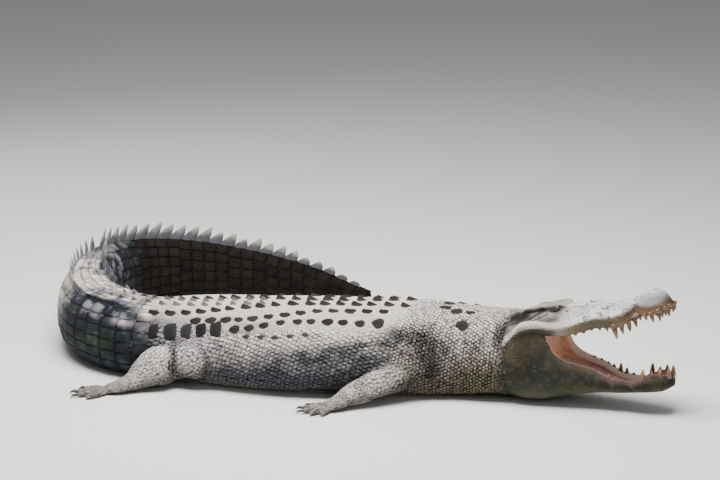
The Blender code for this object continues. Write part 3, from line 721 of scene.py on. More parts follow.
def bodyShare(along, side, height):
    # 1 on the body's own surface, more where a limb stands out of it
    top, waist, width = body["top"](along), body["waist"](along), body["halfWidth"](along)
    above = height > waist
    power = np.where(above, body["topPower"](along), body["bellyPower"](along))
    tall = np.where(above, (height - waist) / (top - waist), (waist - height) / (bellyFlat * waist))
    return (np.abs(side / width) ** power + np.abs(tall) ** power) ** (1 / power)


def headMarks(points, along, side, height, normals):
    ahead, hand = -along, np.where(side >= 0, 1.0, -1.0)
    lip, floor, chin = (head[k](ahead) for k in ("lip", "floor", "chin"))
    rim = np.minimum(head["rim"](ahead), lip)
    turn = math.radians(float(body["heading"](0)))
    outward = hand * (-normals[:, 0] * math.sin(turn) + normals[:, 1] * math.cos(turn))
    clouds = cloudNoise(points, 0.03, 3)
    upper = height > (lip + rim) / 2
    made = blend(tone["crown"], tone["crownDust"], ease(0.4, 0.8, clouds) * 0.35)
    # behind the eyes the sides are browner and spotted
    made = blend(made, tone["temple"], ease(0.255, 0.17, ahead) * 0.85)
    made = blend(made, tone["templeLow"], ease(0.2, 0.1, ahead) * ease(0.34, 0.3, height) * 0.85)
    spots = ease(0.5, 0.72, cloudNoise(points, 0.014, 14)) * ease(0.22, 0.15, ahead)
    made = blend(made, tone["templeSpot"], spots * 0.55)
    # painted shade in the grooves about the ear and eye and behind the skull table
    for path, width, strength in earStrokes:
        made = blend(made, tone["headGrooveShade"], strength * nearStroke(points, path, width))
    specks = ease(0.56, 0.72, cloudNoise(points, 0.0085, 12)) * upper * ease(0.2, 0.3, ahead)
    made = blend(made, tone["speck"], specks * (0.42 + 0.43 * ease(0.47, 0.43, ahead)))
    bar = nearStroke(points, barPath, 15.5)
    made = blend(made, tone["bar"], bar)
    lilac = np.exp(-(((ahead - 0.168) / 0.024) ** 2) - ((height - 0.315) / 0.01) ** 2) * (np.abs(side) > 0.09)
    made = blend(made, tone["lilacDark"], np.clip(1.3 * lilac, 0, 0.9))
    # painted shade on the steep sides of the snout
    sideShade = ease(0.35, 0.1, normals[:, 2]) * upper * (height - lip < 0.06)
    made = blend(made, tone["snoutSideShade"], sideShade * ease(0.2, 0.26, ahead) * 0.7)
    shadow = ease(0.092, 0.036, height - lip) * upper * ease(0.45, 0.5, ahead)
    made = blend(made, tone["noseShade"], shadow * 0.88)
    # the lip is gold, then olive, then brown, with a dark notch and gum towards the front; the band is partly
    # stain and partly painted shade on the lip's downward face, and the notch is painted shade
    lipTop = lipDepth(ahead) + 0.008 * (clouds - 0.5)
    lipBand = ease(lipTop + 0.009, lipTop - 0.006, height - lip) * upper * ease(0.165, 0.24, ahead)
    lipTone = blend(tone["lipGold"], tone["lipOlive"], ease(0.24, 0.31, ahead))
    lipTone = blend(lipTone, tone["lipBrown"], ease(0.34, 0.4, ahead))
    gumBand = ease(0.03, 0.008, height - lip) * upper * ease(0.36, 0.44, ahead)
    lipTone = blend(lipTone, tone["notchShade"], np.exp(-(((ahead - 0.45) / 0.022) ** 2)))
    lipTone = blend(lipTone, tone["gum"], gumBand)
    made = blend(made, lipTone, lipBand * 0.92)
    made = blend(made, tone["noseFront"], ease(0.552, 0.578, ahead) * upper * ease(0.45, 0.43, height) * 0.9)
    # the lower jaw
    share = np.clip((height - chin) / np.maximum(rim - chin, 0.01), 0, 1)
    jaw = blend(tone["jaw"], tone["cheek"], ease(0.5, 0.95, share))
    jaw = blend(jaw, tone["lowJaw"], ease(0.4, 0.08, share) * 0.9)
    weed = ease(0.62, 0.8, cloudNoise(points, 0.045, 5)) * ease(0.6, 0.2, share)
    jaw = blend(jaw, tone["algae"], weed * 0.5)
    jaw = blend(jaw, tone["jawGreen"], ease(0.4, 0.75, cloudNoise(points, 0.05, 21)) * 0.6)
    jaw = blend(jaw, tone["jawGold"], ease(0.45, 0.8, cloudNoise(points, 0.026, 22)) * 0.6)
    jaw = blend(jaw, tone["jawDust"], ease(0.55, 0.85, cloudNoise(points, 0.012, 24)) * 0.5)
    jaw = blend(jaw, tone["jawEdge"], ease(0.26, 0.4, ahead) * ease(0.55, 1, share) * 0.6)
    # it reaches up behind the corner of the mouth, as far as the pale bar
    cornerTop = height - head["lip"](np.clip(ahead, 0.0, 0.12))
    behind = ease(0.225, 0.165, ahead) * ease(0.6, 0.2, bar) * ease(0.018, 0.006, cornerTop)
    made = blend(made, jaw, np.where(upper, behind, 1.0))
    # painted shade in the corner of the mouth
    made = blend(made, tone["headGrooveShade"], 0.7 * nearStroke(points, cornerPath, 11))
    # the wet lining between the jaws
    inside = (ahead > 0.12) & (height < lip + 0.024) & (height > floor - 0.006) & (outward < 0.2)
    inside &= np.where(upper & (ahead > 0.2), normals[:, 2] < -0.25, True)
    lining = blend(tone["throat"], tone["jawLining"], ease(0.2, 0.28, ahead))
    lining = blend(lining, tone["palate"], (upper & (ahead > 0.19)) * 1.0)
    lining = blend(lining, tone["mouthFold"], 0.75 * nearStroke(points, foldPath, 11))
    lining = blend(lining, lining * 0.72, ease(0.45, 0.75, clouds))
    made = np.where(inside[:, None], lining, made)
    # painted light: the far jaw's rim is painted near white, as if lit, and the near one hardly at all
    edge = (~upper) * ease(0.024, 0.011, np.abs(height - rim)) * ease(0.145, 0.165, ahead)
    made = blend(made, tone["rim"], edge * ease(0.5, 0.45, ahead) * np.where(side < 0, 0.95, 0.03))
    wet = np.where(inside, 0.85, 0.12 + 0.3 * gumBand)
    return made, wet, inside


# painted shade: dark strokes in the grooves about the ear and eye, behind the skull table, in the jaw crease
# and along the snout, as (path, width, strength)
earStrokes = [
    (((-22, 70, 312), (-45, 88, 310), (-66, 106, 312)), 36, 1.0),
    (((-60, 100, 327), (-90, 98, 337), (-125, 93, 346)), 12.5, 0.95),
    (((-125, 93, 346), (-145, 91, 350), (-170, 91, 352), (-188, 82, 355)), 11.5, 0.96),
    (((-180, 84, 358), (-192, 70, 362), (-202, 55, 363)), 8.5, 0.95),
    (((-200, 50, 364), (-219, 41, 361), (-250, 42, 365), (-280, 45, 372)), 4.5, 0.85),
    (((-94, 130, 312), (-109, 113, 326), (-124, 102, 336), (-140, 94, 345)), 6.5, 0.92),
    (((-110, 141, 309), (-130, 121, 322), (-151, 105, 332)), 5, 0.85),
    (((-20, 107, 284), (-44, 122, 291), (-65, 138, 297)), 7.5, 0.8),
    (((-12, 100, 292), (3, 113, 278), (8, 134, 246), (13, 150, 210)), 11.5, 0.9),
    (((-213, 69, 348), (-216, 68, 349)), 5.5, 0.85),
]
lipDepth = measured((150, 12), (207, 28), (241, 34), (274, 40), (309, 39), (345, 34), (381, 37),
    (410, 43), (440, 47), (465, 36), (500, 30), (583, 32))
barPath = ((2, 150, 225), (-22, 148, 256), (-60, 150, 284), (-104, 152, 298), (-140, 144, 302),
           (-185, 128, 302), (-220, 108, 312), (-260, 90, 324))
cornerPath = ((-40, 163, 228), (-85, 162, 262), (-130, 152, 272), (-165, 140, 256))
foldPath = ((-188, 114, 225), (-200, 110, 200), (-215, 103, 175), (-235, 85, 150))


def nearStroke(points, path, width):
    # 1 on the path and 0 away from it
    total = np.zeros(len(points))
    for near, gap in strokeGaps(points, path, width, 5):
        total[near] = np.maximum(total[near], np.exp(-(gap ** 4)))
    return total


def onFoot(points):
    # whether points belong to a lower leg or foot
    found = np.zeros(len(points), bool)
    for leg in legs.values():
        line = leg["line"]
        marks = [line["middle"][line["at"] > line["ankle"] - 0.07]]
        marks += [d["root"] + d["aim"] * d["length"] * np.linspace(0, 1, 6)[:, None] for d in leg["digits"]]
        marks = np.concatenate(marks)
        near = np.flatnonzero(((points > marks.min(0) - 0.06) & (points < marks.max(0) + 0.06)).all(1))
        for first in range(0, len(near), batch):
            part = near[first:first + batch]
            found[part] |= ((points[part, None] - marks[None]) ** 2).sum(-1).min(1) < 0.05 ** 2
    return found


def hideMarks(points, normals):
    # for any points of the hide: tone, wetness, whether they are mouth lining, how much they are limb,
    # and how much painted shade darkens their creases
    along, side, height = readPlace(points)
    clouds, spots = cloudNoise(points, 0.06, 1), cloudNoise(points, 0.022, 2)
    share = bodyShare(along, side, height)
    limb = np.maximum(ease(1.04, 1.16, share) * (along > 0.15) * (along < 1.5), onFoot(points))
    lift = height + 0.03 * (clouds - 0.5)
    # darker towards the bottom; the low flank's dark blue-grey is partly painted shade
    made = blend(tone["flank"], tone["lowFlank"], ease(0.17, 0.08, lift + 0.012 * ease(0.9, 1.1, along)))
    made = blend(made, tone["midFlank"], ease(0.165, 0.2, lift))
    made = blend(made, tone["cream"], ease(0.215, 0.285, lift))
    made = blend(made, tone["belly"], ease(0.03, 0.012, height))
    neckTone = blend(tone["neck"], tone["lowNeck"], ease(0.275, 0.072, lift))
    made = blend(made, neckTone, ease(0.44, 0.32, along))
    # the tail: dark sides that are partly painted shadow, painted shade inside its curve, lighter mottling
    # that is partly painted dappled light, and a broken pale band along the top
    tail = ease(1.22, 1.42, along + 0.35 * (0.2 - height))
    fromMiddle = np.abs(side - 0.03 * ease(1.6, 2.0, along)) + 0.03 * (clouds - 0.5)
    topBand = ease(0.085, 0.055, fromMiddle) * (height > 0.2)
    topBand = topBand * ease(2.5, 2.05, along + 0.3 * (clouds - 0.5))
    topBand = np.maximum(topBand, ease(0.24, 0.265, lift) * ease(1.45, 1.38, along))
    # painted shade on the inside of the tail's curve
    inner = (side < 0) * ease(2.42, 2.6, along + 0.1 * (spots - 0.5))
    tailTone = blend(tone["tailSide"], tone["tailInnerShade"], inner)
    # lighter mottling on the tail, partly real and partly painted dappled light
    broken = 0.65 * cloudNoise(points, 0.046, 6) + 0.35 * cloudNoise(points, 0.015, 16)
    mottle = ease(0.5, 0.64, broken) * (1 - inner) * (0.45 + 0.55 * ease(2.9, 2.4, along))
    tailTone = blend(tailTone, tone["tailMottleAndDapple"], mottle * (0.08 + 0.6 * ease(0.12, 0.25, height)))
    tailTone = blend(tailTone, tone["tailTop"], topBand * ease(0.66, 0.52, broken))
    tailTone = tailTone * (0.7 + 0.6 * spots)[:, None]
    made = blend(made, tailTone, tail)
    limbTone = blend(tone["limb"], tone["foot"], ease(0.07, 0.02, height))
    limbTone = blend(limbTone, tone["limbCloud"], ease(0.5, 0.85, clouds) * 0.6)
    # painted shade on the limbs' downward faces
    limbTone = blend(limbTone, tone["limbUnderShade"], ease(0.1, -0.6, normals[:, 2]) * 0.75)
    made = blend(made, limbTone, limb * 0.92)
    # painted shade in the creases, more lower down and where the shade patches lie
    deep = 0.55 * ease(0.24, 0.1, lift) * (1 - 0.6 * limb)
    hands = np.where(side > 0, 1.0, 0.75)
    for spot, reach, name, strength in patches:
        (a, s, h), (da, ds, dh) = np.array((spot, reach)) / 1000
        gap = ((along - a) / da) ** 2 + ((np.abs(side) - s) / ds) ** 2 + ((height - h) / dh) ** 2
        share = np.clip(np.exp(-gap) * 1.4 * strength * (0.6 + 0.8 * spots), 0, 0.95) * hands
        # the shade patches and the blue-black ones are painted shade, also deepening the creases
        if name in ("shade", "blueBlackAndFoldShade"):
            share = share * (1 - limb * (name == "blueBlackAndFoldShade"))
            deep = np.maximum(deep, share)
        made = blend(made, tone[name], share * (0.82 if name == "shade" else 0.86))
    made = made * (0.86 + 0.28 * spots)[:, None]
    wet = np.full(len(points), 0.1) + 0.25 * ease(0.06, 0.0, height)
    lining = np.zeros(len(points), bool)
    front = along < 0.04
    if front.any():
        chosen = (v[front] for v in (points, along, side, height, normals))
        headTone, wet[front], lining[front] = headMarks(*chosen)
        mix = ease(0.03, -0.014, along[front] + 0.04 * (clouds[front] - 0.5))
        made[front] = blend(made[front], headTone, mix)
    deep = deep * ease(-0.02, 0.03, along)
    return {"tone": made, "wet": wet, "lining": lining, "limb": limb, "deep": deep,
            "along": along, "side": side, "height": height}


# finishes

def hideFinish(name, look):
    # hide, scales and lining take their colour from the painted marking, then get grain, dust and fine cracks
    made = bpy.data.materials.new(name)
    made.use_nodes = True
    tree = made.node_tree
    shader = tree.nodes["Principled BSDF"]

    def node(kind, *inputs, **settings):
        added = tree.nodes.new("ShaderNode" + kind)
        for setting, value in settings.items():
            setattr(added, setting, value)
        for socket, value in inputs:
            if isinstance(value, bpy.types.NodeSocket):
                tree.links.new(value, added.inputs[socket])
            else:
                added.inputs[socket].default_value = value
        return added.outputs

    def noise(scale, detail=4.0, roughness=0.6):
        return node("TexNoise", ("Vector", where), ("Scale", scale), ("Detail", detail),
                    ("Roughness", roughness))

    def mapped(value, low, high, fromLow=0.3, fromHigh=0.7):
        return node("MapRange", ("Value", value), ("From Min", fromLow), ("From Max", fromHigh),
                    ("To Min", low), ("To Max", high))["Result"]

    def darkened(share, first, second):
        return node("Mix", ("Factor", share), ("A", first), ("B", second),
                    data_type="RGBA", blend_type="MULTIPLY")["Result"]

    marking = node("Attribute", attribute_name="marking")
    where = node("TexCoord")["Object"]
    grain = noise(look["grain"])["Fac"]
    clouds = noise(look["clouds"], 3.0)["Fac"]

    # a net of fine cracks, its lines bent by noise; wet flesh shows hardly any
    smear = noise(look["cracks"] * 0.6, 2.0, 0.5)["Color"]
    bend = (0.5 / look["cracks"],) * 3
    warp = node("VectorMath", (0, smear), (1, bend), (2, where), operation="MULTIPLY_ADD")["Vector"]
    cracks = node("TexVoronoi", ("Vector", warp), ("Scale", look["cracks"]), feature="DISTANCE_TO_EDGE")
    crackLine = mapped(cracks["Distance"], 0.0, 1.0, 0.0, look["crackWidth"])
    worn = mapped(marking["Alpha"], 0.0, 0.85, 0.35, 0.8)
    crackLine = node("Math", (0, crackLine), (1, worn), operation="MAXIMUM")["Value"]

    dusty = darkened(mapped(clouds, look["mottle"], 0.0), marking["Color"], look["dust"])
    grainy = darkened(mapped(grain, look["fleck"], 0.0, 0.35, 0.6), dusty, (0.62, 0.6, 0.58, 1))
    cracked = darkened(mapped(crackLine, look["crackTone"], 0.0, 0.0, 1.0), grainy, (0.35, 0.32, 0.3, 1))
    tree.links.new(cracked, shader.inputs["Base Color"])

    dry = mapped(grain, *look["roughness"])
    wet = node("Mix", ("Factor", marking["Alpha"]), ("A", dry), ("B", 0.22), data_type="FLOAT")["Result"]
    tree.links.new(wet, shader.inputs["Roughness"])

    relief = node("Math", (0, crackLine), (1, look["crackDepth"]), (2, grain), operation="MULTIPLY_ADD")
    bump = node("Bump", ("Strength", look["bump"]), ("Distance", look["relief"]), ("Height", relief["Value"]))
    tree.links.new(bump["Normal"], shader.inputs["Normal"])
    shader.inputs["Specular IOR Level"].default_value = look["shine"]
    shader.inputs["Coat Weight"].default_value = look["coat"]
    shader.inputs["Coat Roughness"].default_value = 0.35
    return made


# where a finish names no value, it takes this one
plain = {"crackWidth": 0.12, "bump": 0.5, "relief": 0.001, "shine": 0.5, "coat": 0.0}
finishes = {
    "skin": {"grain": 420, "clouds": 14, "cracks": 170, "crackWidth": 0.16, "crackDepth": 1.6,
            "crackTone": 0.55, "mottle": 0.38, "fleck": 0.38, "dust": (0.6, 0.57, 0.52, 1),
            "roughness": (0.62, 0.88), "bump": 0.55, "relief": 0.0014, "shine": 0.12},
    "scale": {"grain": 520, "clouds": 24, "cracks": 330, "crackWidth": 0.1, "crackDepth": 0.8,
             "crackTone": 0.25, "mottle": 0.28, "fleck": 0.3, "dust": (0.68, 0.65, 0.6, 1),
             "roughness": (0.6, 0.86), "bump": 0.4, "relief": 0.0008, "shine": 0.1},
    "scute": {"grain": 480, "clouds": 30, "cracks": 210, "crackWidth": 0.14, "crackDepth": 1.0,
             "crackTone": 0.4, "mottle": 0.3, "fleck": 0.5, "dust": (0.7, 0.6, 0.5, 1),
             "roughness": (0.68, 0.9), "bump": 0.6, "relief": 0.0011, "shine": 0.08},
    "tail": {"grain": 460, "clouds": 22, "cracks": 190, "crackDepth": 0.9, "crackTone": 0.4, "mottle": 0.6,
            "fleck": 0.55, "dust": (0.45, 0.42, 0.4, 1), "roughness": (0.7, 0.9), "shine": 0.08},
    "tooth": {"grain": 260, "clouds": 60, "cracks": 120, "crackWidth": 0.05, "crackDepth": 0.4,
             "crackTone": 0.35, "mottle": 0.55, "fleck": 0.35, "dust": (0.55, 0.42, 0.26, 1),
             "roughness": (0.28, 0.5), "bump": 0.25, "relief": 0.0006},
    "claw": {"grain": 300, "clouds": 80, "cracks": 90, "crackWidth": 0.05, "crackDepth": 0.3,
            "crackTone": 0.3, "mottle": 0.5, "fleck": 0.4, "dust": (0.5, 0.45, 0.4, 1),
            "roughness": (0.3, 0.55), "bump": 0.35, "relief": 0.0006},
    "flesh": {"grain": 330, "clouds": 30, "cracks": 140, "crackDepth": 0.7, "crackTone": 0.3, "mottle": 0.4,
             "fleck": 0.35, "dust": (0.7, 0.45, 0.4, 1), "roughness": (0.3, 0.5), "coat": 0.25},
    "eye": {"grain": 900, "clouds": 200, "cracks": 700, "crackWidth": 0.1, "crackDepth": 0.1,
           "crackTone": 0.2, "mottle": 0.3, "fleck": 0.3, "dust": (0.6, 0.5, 0.3, 1),
           "roughness": (0.05, 0.12), "bump": 0.03, "relief": 0.0002, "shine": 0.6, "coat": 1.0},
}
finish = {name: hideFinish(name + "Finish", plain | look) for name, look in finishes.items()}


# the skin

fleshNodes = ["head", "lower_jaw", "neck", "trunk", *(f"tail_{i}" for i in range(1, 6))]
for end in ("fore", "hind"):
    for limbPart in ("leg", "foot"):
        fleshNodes += [f"{end}{limbPart}_right", f"{end}{limbPart}_left"]


def creaseTone(marks):
    # between the scales the skin is darker than they are, partly as painted shade, least so on the back and
    # most in the folds
    back = ease(0.2, 0.25, marks["height"]) * ease(0.3, 0.45, marks["along"]) * ease(1.6, 1.4, marks["along"])
    headShare = ease(0.0, -0.02, marks["along"])
    keep = (0.34 + 0.46 * back * (1 - marks["limb"])) * (1 - 0.8 * marks["deep"])
    keep = keep + (0.8 - keep) * headShare
    return np.where(marks["lining"][:, None], marks["tone"], marks["tone"] * keep[:, None])


skinMarks = hideMarks(pointsOf(skinMesh), normalsOf(skinMesh))
paint(skinMesh, np.column_stack((creaseTone(skinMarks), skinMarks["wet"])))
skinPiece = addPiece("skin", skinMesh, finish["skin"])
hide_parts(*fleshNodes)
print("skin painted")


# everything that lies on the skin finds its place here

class SkinMap:
    def __init__(self, made):
        made.calc_loop_triangles()
        self.points, self.normals = pointsOf(made), normalsOf(made)
        corners = np.empty(len(made.loop_triangles) * 3, np.int32)
        made.loop_triangles.foreach_get("vertices", corners)
        self.corners = corners.reshape(-1, 3)
        self.tree = BVHTree.FromPolygons(self.points.tolist(), self.corners.tolist())
        a, b, c = (self.points[self.corners[:, k]] for k in range(3))
        self.area = np.linalg.norm(np.cross(b - a, c - a), axis=1) / 2
        self.middle = (a + b + c) / 3

    def snap(self, points, reach=0.05):
        # nearest places on the skin, with its smooth normals and how far off each was
        spots, normals = np.array(points, float), np.zeros((len(points), 3))
        gaps = np.full(len(points), 9.0)
        for i, point in enumerate(points):
            spot, _, face, gap = self.tree.find_nearest(point, reach)
            if spot is None:
                continue
            spots[i], gaps[i] = spot, gap
            normals[i] = self.normals[self.corners[face]].mean(0)
        length = np.linalg.norm(normals, axis=1, keepdims=True)
        return spots, normals / np.maximum(length, 1e-9), gaps


skinMap = SkinMap(skinMesh)


def spread(chosen, spacing, spacingOf=None):
    # even, irregular places over the chosen faces, no two nearer than the spacing
    weight = skinMap.area * chosen
    if spacingOf is not None:
        weight = weight / np.maximum(spacingOf, 1e-4) ** 2 * spacing ** 2
    count = int(weight.sum() / spacing ** 2 * 6)
    faces = rng.choice(len(weight), count, p=weight / weight.sum())
    u, v = rng.random(count), rng.random(count)
    flip = u + v > 1
    u[flip], v[flip] = 1 - u[flip], 1 - v[flip]
    a, b, c = (skinMap.points[skinMap.corners[faces, k]] for k in range(3))
    places = a + (b - a) * u[:, None] + (c - a) * v[:, None]
    limits = np.full(count, spacing) if spacingOf is None else spacingOf[faces]
    cell = limits.max()
    cells, kept = {}, []
    keys = np.floor(places / cell).astype(int)
    around = [(i, j, k) for i in (-1, 0, 1) for j in (-1, 0, 1) for k in (-1, 0, 1)]
    for n in range(count):
        x, y, z = keys[n]
        p, limit = places[n], limits[n] ** 2
        free = True
        for i, j, k in around:
            for q in cells.get((x + i, y + j, z + k), ()):
                if (p[0] - q[0]) ** 2 + (p[1] - q[1]) ** 2 + (p[2] - q[2]) ** 2 < limit:
                    free = False
        if free:
            cells.setdefault((x, y, z), []).append(tuple(p))
            kept.append(n)
    kept = np.array(kept)
    normals = skinMap.normals[skinMap.corners[faces[kept]]].mean(1)
    return places[kept], unit(normals), limits[kept]


def roomAround(places, limit):
    # half the mean distance to the four nearest neighbours
    tree = treeOf(places)
    gaps = [sum(found[2] for found in tree.find_n(point, 5)[1:]) / 8 for point in places]
    return np.minimum(gaps, 0.8 * limit)


def scaleForm(cuts, squareness, crown, rim=3):
    # one scale: a crowned grid on a rounded square, x to the tail and y across, with a sunk skirt and base
    marks = np.linspace(-1, 1, cuts + 1)
    x, y = (g.ravel() for g in np.meshgrid(marks, marks, indexing="ij"))
    reach = np.maximum(np.abs(x), np.abs(y))
    turn = np.arctan2(y, x)
    power = squareness
    radius = reach / (np.abs(np.cos(turn)) ** power + np.abs(np.sin(turn)) ** power) ** (1 / power)
    x, y = radius * np.cos(turn), radius * np.sin(turn)
    top = np.column_stack((x, y, crown(x, y, reach)))
    n = cuts + 1
    corners = [i * n + j for i in range(cuts) for j in range(cuts)]
    faces = [(k, k + n, k + n + 1, k + 1) for k in corners]
    ring = [i * n for i in range(cuts)] + [cuts * n + j for j in range(cuts)]
    ring += [i * n + cuts for i in range(cuts, 0, -1)] + [j for j in range(cuts, 0, -1)]
    base = top[ring] * (1.06, 1.06, 0) - (0, 0, 0.9)
    first, count = len(top), len(ring)
    faces += [(ring[k], first + k, first + (k + 1) % count, ring[(k + 1) % count]) for k in range(count)]
    faces += [(first + (k + 1) % count, first + k, first + count) for k in range(count)]
    points = np.concatenate([top, base, [(0, 0, -1.0)]])
    edge = np.concatenate([reach ** rim, np.ones(count + 1)])
    # the first face decides which way round they all go
    a, b, c = (points[v] for v in faces[0][:3])
    if np.cross(b - a, c - a)[2] < 0:
        faces = [tuple(reversed(f)) for f in faces]
    return {"points": points, "faces": faces, "edge": edge}


def pebble(x, y, reach):
    return 1.0 - 0.68 * reach ** 2.6 + 0.12 * x


def roundScale(x, y, reach):
    return 1.0 - 0.7 * reach ** 3.2 + 0.22 * x * (1 - 0.3 * reach)


def shingle(x, y, reach):
    return 0.72 - 0.46 * reach ** 4 + 0.28 * x


def keeled(x, y, reach):
    keel = np.exp(-((y / 0.2) ** 2)) * (0.5 + 0.55 * x) * ease(1.0, 0.6, reach)
    return 0.42 * (1 - 0.8 * reach ** 3) + 0.85 * keel + 0.1 * x


def platy(x, y, reach):
    return 0.86 - 0.42 * reach ** 7 + 0.2 * x + 0.12 * np.exp(-((y / 0.3) ** 2)) * ease(1, 0.5, reach)


def broad(x, y, reach):
    return 0.62 - 0.34 * reach ** 5 + 0.3 * np.exp(-((x / 0.28) ** 2)) * ease(1.0, 0.5, reach) + 0.08 * y


forms = {
    "grain": scaleForm(2, 2.6, pebble), "pebble": scaleForm(3, 2.8, pebble),
    "round": scaleForm(4, 2.6, roundScale), "shingle": scaleForm(4, 3.4, shingle),
    "keeled": scaleForm(10, 1.75, keeled), "broad": scaleForm(9, 5.0, broad),
    "plate": scaleForm(8, 6.0, platy, 9),
}


laid = []     # place and reach of every scale laid so far
chartHalf = 0.0013     # half the size of a scale's patch on the unwrap


def layScales(name, form, sites, look="scale", follow=False, fine=False):
    # sites: place, normal, back (direction of the tail), long and wide (half sizes), high, tone, edge, chart;
    # "follow" bends them to the skin, and "fine" paints each corner from the markings under it
    shape, count = forms[form], len(sites["place"])
    normal = sites["normal"]
    back = sites["back"] - normal * (sites["back"] * normal).sum(1)[:, None]
    back /= np.maximum(np.linalg.norm(back, axis=1, keepdims=True), 1e-9)
    across = np.cross(normal, back)
    local = shape["points"]
    spin = sites.get("spin", np.zeros(count))
    cos, sin = np.cos(spin)[:, None], np.sin(spin)[:, None]
    x = local[None, :, 0] * sites["long"][:, None]
    y = local[None, :, 1] * sites["wide"][:, None]
    taper = sites.get("taper", np.zeros(count))[:, None]
    y = y * (1 - taper * local[None, :, 0])
    x, y = x * cos - y * sin, x * sin + y * cos
    flat = sites["place"][:, None] + back[:, None] * x[..., None] + across[:, None] * y[..., None]
    lift = local[None, :, 2] * sites["high"][:, None]
    if follow:
        spots, normals, _ = skinMap.snap(flat.reshape(-1, 3), 0.04)
        normals = np.where((np.abs(normals).sum(1) > 0)[:, None], normals, np.repeat(normal, len(local), 0))
        points = (spots + normals * lift.reshape(-1, 1)).reshape(count, -1, 3)
    else:
        bend = (x ** 2 + y ** 2) / (2 * sites.get("curve", np.full(count, 0.25))[:, None])
        points = flat + normal[:, None] * (lift - bend)[..., None]
    points[..., 2] = np.maximum(points[..., 2], 0.0)
    made = bpy.data.meshes.new(name)
    made.vertices.add(points.shape[0] * points.shape[1])
    made.vertices.foreach_set("co", points.astype(np.float32).ravel())
    sizes = np.array([len(f) for f in shape["faces"]])
    corners = np.fromiter((v for f in shape["faces"] for v in f), int, sizes.sum())
    allCorners = (corners[None] + np.arange(count)[:, None] * len(local)).ravel()
    fillPolygons(made, allCorners, np.tile(sizes, count))
    edge = (shape["edge"][None, :] * sites.get("edgeShare", np.ones(count))[:, None])[..., None]
    centre, border = sites["tone"][:, None], sites["edge"][:, None]
    if fine:
        under = hideMarks(points.reshape(-1, 3), np.repeat(normal, len(local), 0))["tone"]
        under = under.reshape(count, -1, 3)
        centre = under * sites["vary"][:, None]
        border = under * (sites["edge"] / sites["marks"]["tone"])[:, None]
    tones = centre * (1 - edge) + border * edge
    wet = np.repeat(sites["wet"][:, None], len(local), 1)[..., None]
    paint(made, np.concatenate([tones, wet], -1).reshape(-1, 4))
    chart = made.uv_layers.new(name="OFBake")
    patch = sites["chart"][:, None] + local[None, :, :2] * chartHalf
    chart.data.foreach_set("uv", patch.reshape(-1, 2)[allCorners].astype(np.float32).ravel())
    laid.append((sites["place"], np.minimum(sites["long"], sites["wide"])))
    addPiece(name, made, finish[look])
    print(name, count, "scales,", count * int((sizes - 2).sum()), "triangles")


def chartOf(along, around):
    # a flat unwrap of the skin for these places: along the body and round it
    return np.column_stack([0.02 + 0.96 * (v - v.min()) / max(np.ptp(v), 1e-6) for v in (along, around)])


# a chart of the body: arc lengths from the back's midline, for scales that lie in rows

chartStep = 0.005
chartAlong = np.arange(0, body["tailTip"], chartStep)
chartTurn = np.linspace(0, math.pi, 240)
chartSide, chartHeight = bodyRings(chartAlong, chartTurn)
chartSteps = np.hypot(np.diff(chartSide), np.diff(chartHeight))
chartArc = np.concatenate([np.zeros((len(chartAlong), 1)), np.cumsum(chartSteps, 1)], 1)


def chartRow(along):
    return np.clip(np.round(np.asarray(along) / chartStep).astype(int), 0, len(chartAlong) - 1)


def onBody(along, arc):
    # the place this far back along the spine and this far round from the midline, right side positive
    row = chartRow(along)
    side, height = np.empty(len(along)), np.empty(len(along))
    for n, (r, q) in enumerate(zip(row, np.abs(arc))):
        side[n] = np.interp(q, chartArc[r], chartSide[r])
        height[n] = np.interp(q, chartArc[r], chartHeight[r])
    return place(along, side * np.sign(arc), height)


def halfRound(along):
    return chartArc[chartRow(along), -1]


def bodySites(along, arc, long, wide, high, keepWithin=0.013):
    # places in rows on the body, snapped to the skin; those hidden in a limb or a fold drop out
    places = onBody(along, arc)
    ahead, behind = onBody(np.maximum(along - 0.01, 0), arc), onBody(along + 0.01, arc)
    spots, normals, gaps = skinMap.snap(places, 0.03)
    stretch = np.linalg.norm(behind - ahead, axis=1) / 0.02
    keep = gaps < keepWithin
    sites = {"place": spots, "normal": normals, "back": behind - ahead, "long": long * stretch,
             "wide": wide, "high": high, "along": along}
    return {k: np.asarray(v)[keep] for k, v in sites.items()}


def dress(sites, toneShift=0.16, crease=0.45, top=1.12):
    # the markings under each scale, a little different from scale to scale, with tops painted paler as
    # painted light and edges painted darker as painted shade, most in the folds
    marks = hideMarks(sites["place"], sites["normal"])
    count = len(sites["place"])
    vary = 1 + toneShift * rng.normal(0, 1, (count, 1)) * 0.6 + 0.04 * rng.normal(0, 1, (count, 3))
    sites["vary"] = top * vary
    sites["tone"] = np.clip(marks["tone"] * top * vary, 0.01, 0.87)
    sites["edge"] = marks["tone"] * crease * (1 - 0.75 * marks["deep"])[:, None]
    sites["wet"] = marks["wet"]
    sites["marks"] = marks
    sites["chart"] = chartOf(marks["along"], np.arctan2(marks["side"], marks["height"] - 0.1))
    return sites


def only(sites, keep):
    return {k: v[keep] for k, v in sites.items()}


def gather(parts):
    return {k: np.concatenate([p[k] for p in parts]) for k in parts[0]}


# rows of keeled scutes along the back

